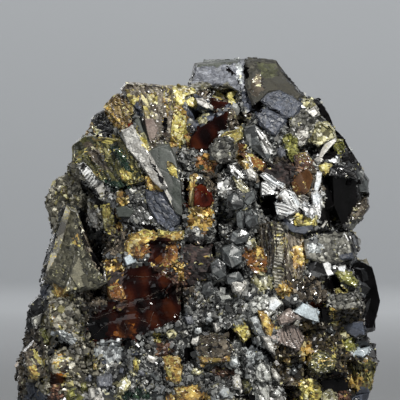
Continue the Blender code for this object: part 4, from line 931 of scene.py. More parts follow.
def cad_mesh():
    """The CAD solid's points in millimetres, welded, and its triangles."""
    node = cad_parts[NODE]
    node = node if hasattr(node, "data") else bpy.data.objects[NODE]
    work = bmesh.new()
    work.from_mesh(node.data)
    work.transform(node.matrix_world)
    bmesh.ops.remove_doubles(work, verts=work.verts, dist=WELD)
    bmesh.ops.triangulate(work, faces=work.faces)
    points = np.array([vert.co[:] for vert in work.verts]) / MM
    faces = np.array([[vert.index for vert in face.verts] for face in work.faces])
    work.free()
    return points, faces


SAME_PLANE = 0.985  # the least cosine between the normals of neighbours in one patch


def islands_of(points, faces):
    """Numbers the flat patches of the CAD solid, joining neighbours that lie nearly in one plane."""
    normal = normals_of(points, faces)[0]
    corners = edge_ends(faces)
    owner = np.tile(np.arange(len(faces)), 3)
    order = np.lexsort((corners[:, 1], corners[:, 0]))
    corners, owner = corners[order], owner[order]
    same = (corners[1:] == corners[:-1]).all(axis=1)
    beside = np.column_stack([owner[1:][same], owner[:-1][same]])
    level = (normal[beside[:, 0]] * normal[beside[:, 1]]).sum(axis=1) > SAME_PLANE
    leader = list(range(len(faces)))

    def root(k):
        while leader[k] != k:
            leader[k] = leader[leader[k]]
            k = leader[k]
        return k

    for a, b in beside[level]:
        leader[root(a)] = root(b)
    return np.unique([root(k) for k in range(len(faces))], return_inverse=True)[1].reshape(-1)


FACING_LIMIT = 0.1  # the camera may see faces whose normal's y is below this
SEEN_SLACK = 1.6


def seen_from_front(tree, places, normals):
    """Which places the camera can see."""
    seen = np.zeros(len(places), bool)
    columns, rows = to_pixels(places)
    for k in np.nonzero(normals[:, 1] < FACING_LIMIT)[0]:
        start, way = ray_through(columns[k], rows[k])
        far = tree.ray_cast(start, way)[3]
        seen[k] = far is not None and far > (Vector(places[k]) - start).length - SEEN_SLACK
    return seen


WRAP_DEPTH = 4.0  # how far back the painted outlines carry on round the sides
WRAP_WAVE = 2.5
WRAP_LENGTH = 14.0
SIDE_STRAY = 7.0  # how many pixels they stray there
STRAY_LENGTH = 4.0
RAGGED = 1.1  # how many pixels an outline's border wavers
RAGGED_INSIDE = 0.4
RAGGED_LENGTH = 1.6
SPOT_LENGTH = 9.0
SPOT_LIMIT = 1.15
SPOT_SHIFT = 0.37


def looks_at(places, seen, islands, ragged=RAGGED):
    """The family, relief and streak direction of each place, from the outlines or from its flat patch."""
    columns, rows = to_pixels(places)
    astray = np.where(seen, 0.0, SIDE_STRAY)
    columns = columns + waves(places, RAGGED_LENGTH, 1) * ragged + waves(places, STRAY_LENGTH, 5) * astray
    rows = rows + waves(places, RAGGED_LENGTH, 2) * ragged + waves(places, STRAY_LENGTH, 6) * astray
    near_front = seen | (places[:, 1] < WRAP_DEPTH + WRAP_WAVE * waves(places, WRAP_LENGTH, 4))
    framed = (rows < FRAME_PIXELS) & (rows >= 0) & (columns >= 0) & (columns < FRAME_PIXELS)
    inner = near_front & framed
    region = region_at(columns, rows)
    keys = np.column_stack([islands, islands * 3 + 1, islands * 7 + 2])
    chance = hashed(keys, 5)
    spotty = waves(places, SPOT_LENGTH, 3) > SPOT_LIMIT
    chance = np.where(spotty, (chance + SPOT_SHIFT) % 1, chance)
    other = OTHER_FAMILIES[np.minimum(np.searchsorted(OTHER_SHARES, chance), len(OTHER_FAMILIES) - 1)]
    family = np.where(inner, REGION_FAMILY[region], other)
    relief = np.where(inner, REGION_RELIEF[region], FAMILY_RELIEF[other])
    angle = np.where(inner, REGION_ANGLE[region], hashed(keys, 9) * math.pi)
    return family, relief, angle


def streak_ways(angle):
    """Directions in the photograph's plane, from their angles below rightwards."""
    return np.column_stack([np.cos(angle), np.zeros(len(angle)), -np.sin(angle)])


# A relief cell's step has a random height, of which this share lies below the face, and tilts.
STEP_BELOW = 0.55
STEP_TILT = 1.1
# Grooves waver along the surface and from cell to cell, have sloping sides, and differ in depth; their colour
# is darkened with their depth as painted shade.
GROOVE_WAVE = 0.16
GROOVE_WAVE_LENGTH = 3.0
GROOVE_SHIFT = 0.25
GROOVE_FLOOR = 1.6
GROOVE_SLOPE = 4.4
GROOVE_LEAST = 0.25
GROOVE_SPREAD = 1.3
GROOVE_PAINTED_SHADE = 0.86
CREVICE_DEPTH = 0.5  # as a share of the steps' height
MOST_INWARD = 0.45


def relief_of(places, normals, relief, angle, salt):
    """How far each place is lifted, its relief cell, the painted shade that darkens it in grooves and
    crevices, and a place nearer its cell's middle."""
    width, stretch, height, spacing, groove = RELIEF_TABLE[relief].T
    level = streak_ways(angle)
    along = level - normals * (level * normals).sum(axis=1)[:, None]
    along /= np.maximum(lengths(along), 1e-6)[:, None]
    across = np.cross(normals, along)
    u, v, n = ((places * way).sum(axis=1) for way in (along, across, normals))
    cell, away, gap = cells_at(np.column_stack([u / (width * stretch), v / width, n / width]), salt)
    tilt = np.column_stack([hashed(cell, salt + 11 + k) - 0.5 for k in range(3)])
    lift = height * (hashed(cell, salt + 20) - STEP_BELOW + STEP_TILT * (tilt * away).sum(axis=1))
    wobble = waves(places, GROOVE_WAVE_LENGTH, salt) * GROOVE_WAVE
    wobble = wobble + (hashed(cell, salt + 25) - 0.5) * GROOVE_SHIFT
    phase = np.where(spacing > 0, (v / np.maximum(spacing, 0.01) + wobble) % 1.0, 0.5)
    depth = np.where(spacing > 0, np.clip(GROOVE_FLOOR - GROOVE_SLOPE * np.abs(phase - 0.5), 0, 1), 0.0)
    depth = depth * np.clip(GROOVE_LEAST + hashed(cell, salt + 26) * GROOVE_SPREAD, 0, 1)
    crevice = np.clip(1 - gap / CREVICE_WIDTH, 0, 1)
    lift = lift - groove * depth - height * CREVICE_DEPTH * crevice
    # Painted shade: the colour is darkened in grooves and crevices.
    painted_recess_shade = (1 - GROOVE_PAINTED_SHADE * depth) * (1 - crevice * (1 - CREVICE_PAINTED_SHADES[relief]))
    inward = along * (away[:, 0] * width * stretch)[:, None] + across * (away[:, 1] * width)[:, None]
    inward *= np.minimum(1, MOST_INWARD / np.maximum(lengths(inward), 1e-6))[:, None]
    return lift, cell, painted_recess_shade, places - inward


GLASS_CLOUD = 0.3
GLASS_CLOUD_LENGTH = 4.5
ROUGHNESS_SPREAD = 0.2
ROUGHNESS_LIMITS = (0.05, 0.9)


def coloured(places, family, angle, cell, painted_recess_shade, salt):
    """Face colours and roughness from family and relief cell, with yellow dusting and painted shade in
    grooves and crevices.
    """
    glass = np.isin(family, VITREOUS)
    # The glassy tones follow clouds: partly the crystal's own colour, partly painted glow within it.
    tone_and_glow = np.clip(0.5 + GLASS_CLOUD * waves(places, GLASS_CLOUD_LENGTH, 21), 0, 1)
    pick = np.where(glass, tone_and_glow, hashed(cell, salt + 31))
    shade = np.where(glass, 0.5, hashed(cell, salt + 32))
    colours = tones_for(family, pick, shade)
    flecks, veins = DUST[family].T
    level = streak_ways(angle)
    u = (places * level).sum(axis=1)[:, None]
    spots = places / FLECK_WIDTH - level * u * (1 - 1 / FLECK_STRETCH) / FLECK_WIDTH
    spots = spots + waves(places, FLECK_BEND_LENGTH, 25)[:, None] * FLECK_BEND
    fleck, _, _ = cells_at(spots, salt + 41)
    cloud = np.clip(CLOUD_MEAN + CLOUD_STRENGTH * waves(places, CLOUD_LENGTH, 22), 0, MOST_CLOUDED)
    dusted = hashed(fleck, salt + 45) < flecks * cloud * CLOUDED_FLECKS
    dusted |= np.abs(waves(places, VEIN_LENGTH, 23)) < veins * np.clip(cloud, *CLOUDED_VEINS)
    dust = np.where(hashed(fleck, salt + 46) > GOLDEN_FLECKS, LEMON, GOLD)
    dust = np.where(np.isin(family, PALE_DUSTED), CREAM, dust)
    dust_tones = tones_for(dust, hashed(fleck, salt + 47), hashed(fleck, salt + 48))
    colours = np.where(dusted[:, None], dust_tones, colours)
    roughness = FAMILY_ROUGHNESS[family] + (hashed(cell, salt + 33) - 0.5) * ROUGHNESS_SPREAD
    roughness = np.where(dusted, FLECK_ROUGHNESS, np.clip(roughness, *ROUGHNESS_LIMITS))
    return colours * (painted_recess_shade * patchiness(places, family))[:, None], roughness


def patchiness(places, family):
    """Granular ground lies lighter and darker in patches a few millimetres wide."""
    patches = np.clip(1 + PATCH_STRENGTH * waves(places, PATCH_WIDTH, 24), *PATCH_LIMITS)
    return np.where(FAMILY_GRAIN[family] > PATCHY_GRAIN, patches, 1.0)


# The skin follows the CAD solid's faces and carries their fine relief and colour.
FINE_KINDS = [RELIEF_NAMES.index(name) for name in ("etched", "striae", "rungs", "coarse")]
FRONT_DEPTH = 5.0
GROUND_CLEARANCE = 0.08
SKIN_SALT = 40
SKIN_TONE_SALT = 50
# Painted shade: the skin under families thick with grains is darkened.
DENSE_GRAIN = 0.5  # families with more grain than this are darker below their grains
PAINTED_SHADE_UNDER_GRAINS = 0.6


def skin_edge(middles):
    """The longest edge allowed at places of the skin."""
    columns, rows = to_pixels(middles)
    fine = np.isin(REGION_RELIEF[region_at(columns, rows)], FINE_KINDS) & (rows < FRAME_PIXELS)
    front = middles[:, 1] < FRONT_DEPTH
    return np.where(front, np.where(fine, FINE_EDGE, FRONT_EDGE), BACK_EDGE)


def build_skin(points, faces, islands, tree, materials):
    """The skin in a left and a right half, of which it returns the left one."""
    points, faces, parents, outward, point_planes, face_planes = refined(points, faces, skin_edge)
    face_islands = islands[parents]
    point_islands = np.zeros(len(points), int)
    for k in range(3):
        point_islands[faces[:, k]] = face_islands
    seen = seen_from_front(tree, points, outward)
    _, relief, angle = looks_at(points, seen, point_islands)
    lift = relief_of(points, point_planes, relief, angle, SKIN_SALT)[0]
    lift[points[:, 2] < GROUND_CLEARANCE] = 0
    middles = points[faces].mean(axis=1)
    face_seen = seen[faces].any(axis=1)
    _, relief, angle = looks_at(middles, face_seen, face_islands)
    _, cell, painted_recess_shade, nearer = relief_of(middles, face_planes, relief, angle, SKIN_SALT)
    family, _, angle = looks_at(nearer, face_seen, face_islands, RAGGED_INSIDE)
    colours, roughness = coloured(middles, family, angle, cell, painted_recess_shade, SKIN_TONE_SALT)
    # Painted shade under the grains.
    colours = colours * np.where(FAMILY_GRAIN[family] > DENSE_GRAIN, PAINTED_SHADE_UNDER_GRAINS, 1.0)[:, None]
    moved = points + outward * lift[:, None]
    moved[:, 2] = np.maximum(moved[:, 2], 0)
    glassy = np.isin(family, VITREOUS)
    left = middles[:, 0] < 0
    halves = []
    for name, kept in (("crystal_skin_left", left), ("crystal_skin_right", ~left)):
        used, corners = np.unique(faces[kept], return_inverse=True)
        half = new_piece(name, moved[used], corners.reshape(-1, 3), colours[kept], roughness[kept],
                         glassy[kept], materials)
        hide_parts(NODE)
        halves.append(half)
    return halves[0]


# Crystals that stand proud of the skin, one for each outline with a lift.
BEVEL = 0.14
ROUND_BEVEL = 0.45
LIP_DROP = 0.8  # as a share of the bevel
WALL_FLARE = 0.45
# Painted shade: the walls of raised crystals are darkened.
WALL_PAINTED_SHADE = 0.7
WALL_DEPTH = 1.0
ROOT_DEPTH = 1.6
MOST_DEPTH = 3.0
HIDDEN_EDGE = 1.0
APEX_HEIGHT = 0.4
CRYSTAL_RELIEF = 0.8
STEEPEST_FACE = 0.8
HIT_SHARE = 80  # a crystal's face is lifted from the level that this many percent of the hits lie below
FIT_SHARE = 75
FIT_ROUNDS = 3
FEWEST_HITS = 6
SAMPLE_SHARES = (0.35, 0.6, 0.82)
BORDER_WAVE = 0.8
BORDER_LENGTH = 1.3
CRYSTAL_SALT = 60
CRYSTAL_TONE_SALT = 70
CRYSTAL_PIECES = 2


def ray_arrays(column, row):
    """The camera's place and the direction through a pixel, as arrays."""
    start, way = ray_through(column, row)
    return np.array(start), np.array(way)


def plane_hit(column, row, on_plane, facing):
    """Where the ray through a pixel meets a plane."""
    start, way = ray_arrays(column, row)
    return start + way * ((on_plane - start) @ facing) / (way @ facing)


def samples_under(corners, tree):
    """Where rays through points spread over an outline meet the solid."""
    middle = corners.mean(axis=0)
    spots = [middle]
    for shrink in SAMPLE_SHARES:
        for k, corner in enumerate(corners):
            spots.append(middle + (corner - middle) * shrink)
            spots.append(middle + ((corner + corners[k - 1]) / 2 - middle) * shrink)
    hits = [tree.ray_cast(*ray_through(*spot))[0] for spot in spots]
    return np.array([hit[:] for hit in hits if hit is not None]).reshape(-1, 3)


def plane_of(hits, turn, up):
    """The way a crystal's face looks: as given, or else that of the solid beneath it."""
    if turn or up:
        turn, up = math.radians(turn), math.radians(up)
        return np.array([math.sin(turn) * math.cos(up), -math.cos(turn) * math.cos(up), math.sin(up)])
    table = np.column_stack([hits[:, 0], hits[:, 2], np.ones(len(hits))])
    kept = np.ones(len(hits), bool)
    for _ in range(FIT_ROUNDS):
        slope = np.linalg.lstsq(table[kept], hits[kept, 1], rcond=None)[0]
        error = np.abs(table @ slope - hits[:, 1])
        kept = error <= np.percentile(error, FIT_SHARE)
    slope = np.clip(slope[:2], -STEEPEST_FACE, STEEPEST_FACE)
    facing = np.array([slope[0], -1.0, slope[1]])
    return facing / np.linalg.norm(facing)


def crystal_shell(region, number, corners, hits):
    """One crystal's points and faces before its relief, how many faces its cap has, and how deep the solid
    lies there."""
    facing = plane_of(hits, region.turn, region.up)
    height = np.percentile(hits @ facing, HIT_SHARE) + region.lift
    start, way = ray_arrays(*corners.mean(axis=0))
    heart = start + way * (height - start @ facing) / (way @ facing)
    bevel = ROUND_BEVEL if region.relief == "fine" else BEVEL
    cap = np.array([plane_hit(column, row, heart, facing) for column, row in corners])
    reach = lengths(cap - heart)
    inset = cap + (heart - cap) * (bevel / np.maximum(reach, bevel * 2))[:, None]
    lip = cap - facing * bevel * LIP_DROP
    root = heart + (cap - heart) * (1 + WALL_FLARE / np.maximum(reach, 1))[:, None]
    deepest = min(hits[:, 1].max(), heart[1] + MOST_DEPTH)
    root[:, 1] = np.maximum(cap[:, 1] + WALL_DEPTH, deepest + ROOT_DEPTH)
    points = np.vstack([inset, lip, root])
    count = len(corners)
    if region.relief == "facet":
        lean_x, lean_z = (hashed(np.array([[number, k, 1]]), 7)[0] - 0.5 for k in range(2))
        apex = heart + facing * reach.min() * APEX_HEIGHT + np.array((lean_x, 0, lean_z)) * reach.min()
        points = np.vstack([points, apex])
        faces = [[k, (k + 1) % count, 3 * count] for k in range(count)]
    else:
        faces = [list(triangle) for triangle in tessellate_polygon([[Vector(place) for place in inset]])]
    caps = len(faces)
    for k in range(count):
        following = (k + 1) % count
        for ring in (0, count):
            a, b, c, d = ring + k, ring + following, ring + count + following, ring + count + k
            faces.extend(([a, b, c], [a, c, d]))
    faces = np.array(faces)
    if normals_of(points, faces)[0][:caps].mean(axis=0) @ facing < 0:
        faces[:caps] = faces[:caps, ::-1]
    following = np.roll(corners, -1, axis=0)
    if (corners[:, 0] * following[:, 1] - corners[:, 1] * following[:, 0]).sum() > 0:
        faces[caps:] = faces[caps:, ::-1]
    return points, faces, caps, deepest


def raised_crystal(region, number, tree):
    """Points, faces, colours, roughness and glassiness of one crystal, or nothing off the solid."""
    corners = np.array(region.corners, float)
    hits = samples_under(corners, tree)
    if len(hits) < FEWEST_HITS:
        return None
    points, faces, caps, deepest = crystal_shell(region, number, corners, hits)
    is_wall = np.arange(len(faces)) >= caps
    points, faces, parents, outward, point_planes, face_planes = refined(
        points, faces, lambda middles: np.where(middles[:, 1] < deepest, CRYSTAL_EDGE, HIDDEN_EDGE))
    _, relief, angle = looks_on(points, number)
    lift = relief_of(points, point_planes, relief, angle, CRYSTAL_SALT + number)[0]
    middles = points[faces].mean(axis=1)
    family, relief, angle = looks_on(middles, number)
    _, cell, painted_recess_shade, _ = relief_of(middles, face_planes, relief, angle, CRYSTAL_SALT + number)
    colours, roughness = coloured(middles, family, angle, cell, painted_recess_shade, CRYSTAL_TONE_SALT + number)
    # Painted shade on the walls.
    colours = colours * np.where(is_wall[parents], WALL_PAINTED_SHADE, 1.0)[:, None]
    points = points + outward * lift[:, None] * CRYSTAL_RELIEF
    points[:, 2] = np.maximum(points[:, 2], 0)
    return points, faces, colours, roughness, np.isin(family, VITREOUS)


def looks_on(places, number):
    """The looks of places on a raised crystal: its own, or those of an outline painted over it later."""
    columns, rows = to_pixels(places)
    columns = columns + waves(places, BORDER_LENGTH, 1) * BORDER_WAVE
    rows = rows + waves(places, BORDER_LENGTH, 2) * BORDER_WAVE
    chosen = np.maximum(region_at(columns, rows), number)
    chosen = np.where(UNRAISED[chosen], chosen, number)
    return REGION_FAMILY[chosen], REGION_RELIEF[chosen], REGION_ANGLE[chosen]


def joined(parts):
    """Several pieces' arrays as one."""
    points, faces, *others = zip(*parts)
    starts = np.cumsum([0, *map(len, points[:-1])])
    shifted = [part + start for part, start in zip(faces, starts)]
    return np.vstack(points), np.vstack(shifted), *map(np.concatenate, others)


# Grains, as (mean number a square millimetre in front, elsewhere, smallest and largest radius).
GRAIN_SIZES = ((3.3, 0.42, 0.14, 0.27), (1.35, 0.28, 0.28, 0.55), (0.06, 0.04, 0.55, 0.9))
GRAINY_RELIEFS = {"rough": 1.0, "coarse": 0.5, "fine": 0.6}
OTHER_RELIEF_GRAIN = 0.25
RELIEF_GRAIN = np.array([GRAINY_RELIEFS.get(name, OTHER_RELIEF_GRAIN) for name in RELIEF_NAMES])
GRAIN_CLEARANCE = 1.3  # above the ground, in radii of the largest grain
GRAIN_STRAY = 1.6
GRAIN_FIT = 0.6
GRAIN_CUBE = 1.7
GRAIN_CUTS = (0.45, 0.8)
GRAIN_FORM = (0.75, 1.2)
GRAIN_STRETCH = (0.75, 1.3)
GRAIN_DEPTH = (-0.45, 0.15)
GRAIN_ROUGHNESS = (-0.12, 0.12)
GRAIN_SHADE = (0.72, 1.3)
SHAPES = 18
# The share of grey grains given near-white tones as painted glints.
PAINTED_GLINTS = 0.025
MOST_IN_A_PIECE = 190000


def grain_shapes():
    """Small convex crystals of about unit radius: points, triangles, and which flat each triangle is of."""
    rng = np.random.default_rng(SEED)
    shapes = []
    for k in range(SHAPES):
        work = bmesh.new()
        bmesh.ops.create_cube(work, size=GRAIN_CUBE)
        for _ in range(2 + k % 3):
            way = Vector(rng.normal(size=3)).normalized()
            cut = bmesh.ops.bisect_plane(work, geom=[*work.verts, *work.edges, *work.faces],
                                         plane_co=way * rng.uniform(*GRAIN_CUTS), plane_no=way,
                                         clear_outer=True)
            rim = [item for item in cut["geom_cut"] if isinstance(item, bmesh.types.BMEdge)]
            if rim:
                bmesh.ops.contextual_create(work, geom=rim)
        bmesh.ops.recalc_face_normals(work, faces=work.faces)
        flats = [[corner.vert.index for corner in face.loops] for face in work.faces]
        points = np.array([vert.co[:] for vert in work.verts])
        work.free()
        points = points * rng.uniform(*GRAIN_FORM, size=3)
        triangles = []
        owners = []
        for number, flat in enumerate(flats):
            for j in range(1, len(flat) - 1):
                triangles.append((flat[0], flat[j], flat[j + 1]))
                owners.append(number)
        shapes.append((points, np.array(triangles), np.array(owners)))
    return shapes


def turned(rng, count):
    """Random rotation matrices."""
    w, x, y, z = (rng.normal(size=(4, count)))
    size = np.sqrt(w * w + x * x + y * y + z * z)
    w, x, y, z = w / size, x / size, y / size, z / size
    rows = ((1 - 2 * (y * y + z * z), 2 * (x * y - w * z), 2 * (x * z + w * y)),
            (2 * (x * y + w * z), 1 - 2 * (x * x + z * z), 2 * (y * z - w * x)),
            (2 * (x * z - w * y), 2 * (y * z + w * x), 1 - 2 * (x * x + y * y)))
    return np.array(rows).transpose(2, 0, 1)


def scatter(points, faces, islands, tree):
    """Where the grains sit: places, outward directions, radii and families."""
    rng = np.random.default_rng(SEED + 1)
    corners = points[faces]
    normal = normals_of(points, faces)[0]
    area = lengths(np.cross(corners[:, 1] - corners[:, 0], corners[:, 2] - corners[:, 0])) / 2
    found = []
    for in_front, elsewhere, small, large in GRAIN_SIZES:
        for front, density in ((True, in_front), (False, elsewhere)):
            count = int(area.sum() * density)
            chosen = rng.choice(len(faces), size=count, p=area / area.sum())
            a, b = rng.random(count), rng.random(count)
            over = a + b > 1
            a[over], b[over] = 1 - a[over], 1 - b[over]
            corner, second, third = corners[chosen].transpose(1, 0, 2)
            places = corner + (second - corner) * a[:, None] + (third - corner) * b[:, None]
            ways = normal[chosen]
            clear = places[:, 2] > large * GRAIN_CLEARANCE
            if front:
                clear &= ways[:, 1] < FACING_LIMIT
            places, ways, chosen = places[clear], ways[clear], chosen[clear]
            seen = seen_from_front(tree, places, ways)
            keep = seen if front else ~seen
            places, ways, chosen = places[keep], ways[keep], chosen[keep]
            fronts = np.full(len(places), front)
            family, _, _ = looks_at(places, fronts, islands[chosen], GRAIN_STRAY)
            strict, relief, _ = looks_at(places, fronts, islands[chosen], GRAIN_FIT)
            keep = rng.random(len(places)) < FAMILY_GRAIN[strict] * RELIEF_GRAIN[relief]
            if front:
                keep &= ~under_crystals(places)
            radius = small * (large / small) ** rng.random(len(places))
            found.append((places[keep], ways[keep], radius[keep], family[keep]))
    return [np.concatenate(values) for values in zip(*found)]


def under_crystals(places):
    """Which places a raised crystal with a clean face covers."""
    columns, rows = to_pixels(places)
    covered = np.zeros(len(places), bool)
    for region in REGIONS:
        if region.lift > 0 and region.relief != "rough":
            covered |= inside(columns, rows, region.corners)
    return covered


def build_grains(points, faces, islands, tree, materials):
    """Grains over the skin, in pieces of no more than a set number of triangles."""
    rng = np.random.default_rng(SEED + 2)
    places, ways, radius, family = scatter(points, faces, islands, tree)
    count = len(places)
    # Painted glints on some grey grains.
    painted_glint = (rng.random(count) < PAINTED_GLINTS) & (family == NAMES.index("grey"))
    family = np.where(painted_glint, NAMES.index("silver"), family)
    turns = turned(rng, count)
    stretch = rng.uniform(*GRAIN_STRETCH, size=(count, 3))
    middle = places + ways * (radius * rng.uniform(*GRAIN_DEPTH, count))[:, None]
    tint = tones_for(family, rng.random(count), rng.random(count))
    tint *= patchiness(places, family)[:, None]
    rough = FAMILY_ROUGHNESS[family] + rng.uniform(*GRAIN_ROUGHNESS, count)
    kind = rng.integers(0, SHAPES, count)
    batches = [[]]
    size = 0
    for number, (shape, triangles, owners) in enumerate(grain_shapes()):
        chosen = np.nonzero(kind == number)[0]
        scaled = shape[None, :, :] * (stretch[chosen] * radius[chosen, None])[:, None, :]
        spun = np.einsum("kij,kvj->kvi", turns[chosen], scaled) + middle[chosen, None, :]
        spun[:, :, 2] = np.maximum(spun[:, :, 2], 0)
        steps = (np.arange(len(chosen)) * len(shape))[:, None, None]
        shade = rng.uniform(*GRAIN_SHADE, size=(len(chosen), owners.max() + 1))[:, owners]
        colours = tint[chosen][:, None, :] * shade[:, :, None]
        made = (triangles[None] + steps).reshape(-1, 3)
        if batches[-1] and size + len(made) > MOST_IN_A_PIECE:
            batches.append([])
            size = 0
        size += len(made)
        batches[-1].append((spun.reshape(-1, 3), made, colours.reshape(-1, 3),
                            np.repeat(rough[chosen], len(triangles)),
                            np.repeat(np.isin(family[chosen], VITREOUS), len(triangles))))
    for number, batch in enumerate(batches):
        new_piece(f"grains_{number + 1}", *joined(batch), materials)


# Thin pale cracks lie just over the window's surface.
CRACK_HALF_WIDTH = 0.055
CRACK_WIDTHS = (0.5, 1.3)
CRACK_HEIGHT = 0.1
CRACK_SUNK = 0.12
CRACK_STEP = 1.0
CRACK_WAVER = 0.2
CRACK_LONGEST = 1.0
CRACK_GAPS = 0.15
CRACK_TONE = (150, 138, 128)
CRACK_SHADES = (0.3, 1.2)
CRACK_ROUGHNESS = 0.3
# A ridge between two triangles of three points each: its sides, its underside and its ends.
RIDGE_FACES = ((0, 1, 4), (0, 4, 3), (1, 2, 5), (1, 5, 4), (2, 0, 3), (2, 3, 5), (0, 2, 1), (3, 4, 5))


def build_cracks(skin, materials):
    """Ridges of triangular section along each crack."""
    rng = np.random.default_rng(SEED + 3)
    surface = BVHTree.FromPolygons([vert.co / MM for vert in skin.data.vertices],
                                   [tuple(face.vertices) for face in skin.data.polygons])
    sunk = np.array((0, CRACK_SUNK, 0))
    top = np.array((0, -CRACK_HEIGHT, 0))
    faces = np.array(RIDGE_FACES)
    parts = []
    for line in map(pairs, CRACKS):
        track = []
        for (x1, y1), (x2, y2) in zip(line, line[1:]):
            steps = max(2, int(math.hypot(x2 - x1, y2 - y1) / CRACK_STEP))
            for k in range(steps):
                share = k / steps
                track.append((x1 + (x2 - x1) * share + rng.normal() * CRACK_WAVER,
                              y1 + (y2 - y1) * share + rng.normal() * CRACK_WAVER))
        hits = [surface.ray_cast(*ray_through(*spot))[0] for spot in track]
        hits = [np.array(hit) for hit in hits if hit is not None]
        for a, b in zip(hits, hits[1:]):
            length = np.linalg.norm(b - a)
            if length > CRACK_LONGEST or rng.random() < CRACK_GAPS:
                continue
            run = (b - a) / max(length, 1e-6)
            side = np.cross(run, (0, 1, 0)) * CRACK_HALF_WIDTH * rng.uniform(*CRACK_WIDTHS)
            points = np.vstack([(end + side + sunk, end + top, end - side + sunk) for end in (a, b)])
            tone = linear(CRACK_TONE) * rng.uniform(*CRACK_SHADES)
            parts.append((points, faces, np.tile(tone, (len(faces), 1)), np.full(len(faces), CRACK_ROUGHNESS),
                          np.zeros(len(faces), bool)))
    new_piece("window_cracks", *joined(parts), materials)


def new_nodes(name):
    """A material, its node tree and its shader."""
    material = bpy.data.materials.new(name)
    material.use_nodes = True
    tree = material.node_tree
    tree.nodes.clear()
    shader = tree.nodes.new("ShaderNodeBsdfPrincipled")
    tree.links.new(shader.outputs["BSDF"], tree.nodes.new("ShaderNodeOutputMaterial").inputs["Surface"])
    return material, tree, shader


def add(tree, kind, links=(), **values):
    """A node with some of its inputs and properties set and others linked."""
    node = tree.nodes.new(kind)
    for name, value in values.items():
        if name in node.inputs:
            node.inputs[name].default_value = value
        else:
            setattr(node, name, value)
    for socket, source in links:
        tree.links.new(source, node.inputs[socket])
    return node


def object_place(tree):
    """The place on the object, in its own frame."""
    return add(tree, "ShaderNodeTexCoord").outputs["Object"]


def noise(tree, place, **values):
    """Cloudy noise from 0 to 1."""
    return add(tree, "ShaderNodeTexNoise", [("Vector", place)], **values).outputs["Fac"]


def carried(tree, source, old, new):
    """A value carried from one range to another and kept within it."""
    node = add(tree, "ShaderNodeMapRange", [("Value", source)])
    for name, value in zip(("From Min", "From Max", "To Min", "To Max"), (*old, *new)):
        node.inputs[name].default_value = value
    return node.outputs["Result"]


def combined(tree, operation, first, second, **values):
    """The sum or product of two values."""
    return add(tree, "ShaderNodeMath", [(0, first), (1, second)], operation=operation, **values).outputs[0]


def paint(tree, shader, colour, light):
    """Gives the shader a colour made lighter or darker."""
    scaled = add(tree, "ShaderNodeVectorMath", [(0, colour)], operation="SCALE")
    tree.links.new(light, scaled.inputs["Scale"])
    tree.links.new(scaled.outputs["Vector"], shader.inputs["Base Color"])


def roughen(tree, shader, height, strength, distance):
    """Gives the shader a bumpy surface."""
    bump = add(tree, "ShaderNodeBump", [("Height", height)], Strength=strength, Distance=distance)
    tree.links.new(bump.outputs["Normal"], shader.inputs["Normal"])


NOISE_MIDDLE = (0.3, 0.7)  # where most of the noise's values lie
STONE_CLOUD_SCALE = 700.0
STONE_SPECKLE_SCALE = 4.3  # times the clouds' scale
STONE_MOTTLE = 0.28
STONE_SPECKLE = 0.3
STONE_WEAR = 0.1
STONE_BUMP = (0.5, 0.00005)  # strength, and height in metres
STONE_REFRACTION = 1.6


def stone_like():
    """A stone surface whose colour and roughness come from each face, with fine mottling and relief."""
    material, tree, shader = new_nodes("stone")
    place = object_place(tree)
    tone = add(tree, "ShaderNodeAttribute", attribute_name="tone")
    cloud = noise(tree, place, Scale=STONE_CLOUD_SCALE, Detail=5.0, Roughness=0.65)
    dust = noise(tree, place, Scale=STONE_CLOUD_SCALE * STONE_SPECKLE_SCALE, Detail=2.0)
    light = carried(tree, cloud, NOISE_MIDDLE, (1 - STONE_MOTTLE, 1 + STONE_MOTTLE))
    spots = carried(tree, dust, NOISE_MIDDLE, (1 - STONE_SPECKLE, 1 + STONE_SPECKLE))
    paint(tree, shader, tone.outputs["Color"], combined(tree, "MULTIPLY", light, spots))
    wear = carried(tree, cloud, (0, 1), (-STONE_WEAR, STONE_WEAR))
    gloss = combined(tree, "ADD", tone.outputs["Alpha"], wear, use_clamp=True)
    tree.links.new(gloss, shader.inputs["Roughness"])
    roughen(tree, shader, dust, *STONE_BUMP)
    shader.inputs["IOR"].default_value = STONE_REFRACTION
    return material


GLASS_CLOUD_SCALE = 230.0
GLASS_CLOUD_RANGE = (0.36, 0.68)
# How dark and how light the glass's clouds make it: partly its own tone, partly painted glow.
GLASS_TONE_AND_GLOW = (0.55, 1.6)
GLASS_ROUGHENING = 1.6
GLASS_ROUGHNESS = 0.03
GLASS_WAVE_SCALE = 900.0
GLASS_BUMP = (0.25, 0.00006)
GLASS_REFRACTION = 1.45
GLASS_SPECULAR = 0.18


def glass_like():
    """Dark vitreous crystal: clouds of warmer, lighter colour, partly its own tone and partly painted glow of
    light within it, lie under a glossy, gently waved surface.
    """
    material, tree, shader = new_nodes("vitreous")
    place = object_place(tree)
    tone = add(tree, "ShaderNodeAttribute", attribute_name="tone")
    cloud = noise(tree, place, Scale=GLASS_CLOUD_SCALE, Detail=3.0, Roughness=0.55)
    paint(tree, shader, tone.outputs["Color"], carried(tree, cloud, GLASS_CLOUD_RANGE, GLASS_TONE_AND_GLOW))
    smear = combined(tree, "MULTIPLY", tone.outputs["Alpha"], cloud, use_clamp=True)
    gloss = add(tree, "ShaderNodeMath", [(0, smear)], operation="MULTIPLY_ADD")
    gloss.inputs[1].default_value = GLASS_ROUGHENING
    gloss.inputs[2].default_value = GLASS_ROUGHNESS
    tree.links.new(gloss.outputs[0], shader.inputs["Roughness"])
    roughen(tree, shader, noise(tree, place, Scale=GLASS_WAVE_SCALE, Detail=2.0), *GLASS_BUMP)
    shader.inputs["IOR"].default_value = GLASS_REFRACTION
    shader.inputs["Specular IOR Level"].default_value = GLASS_SPECULAR
    return material


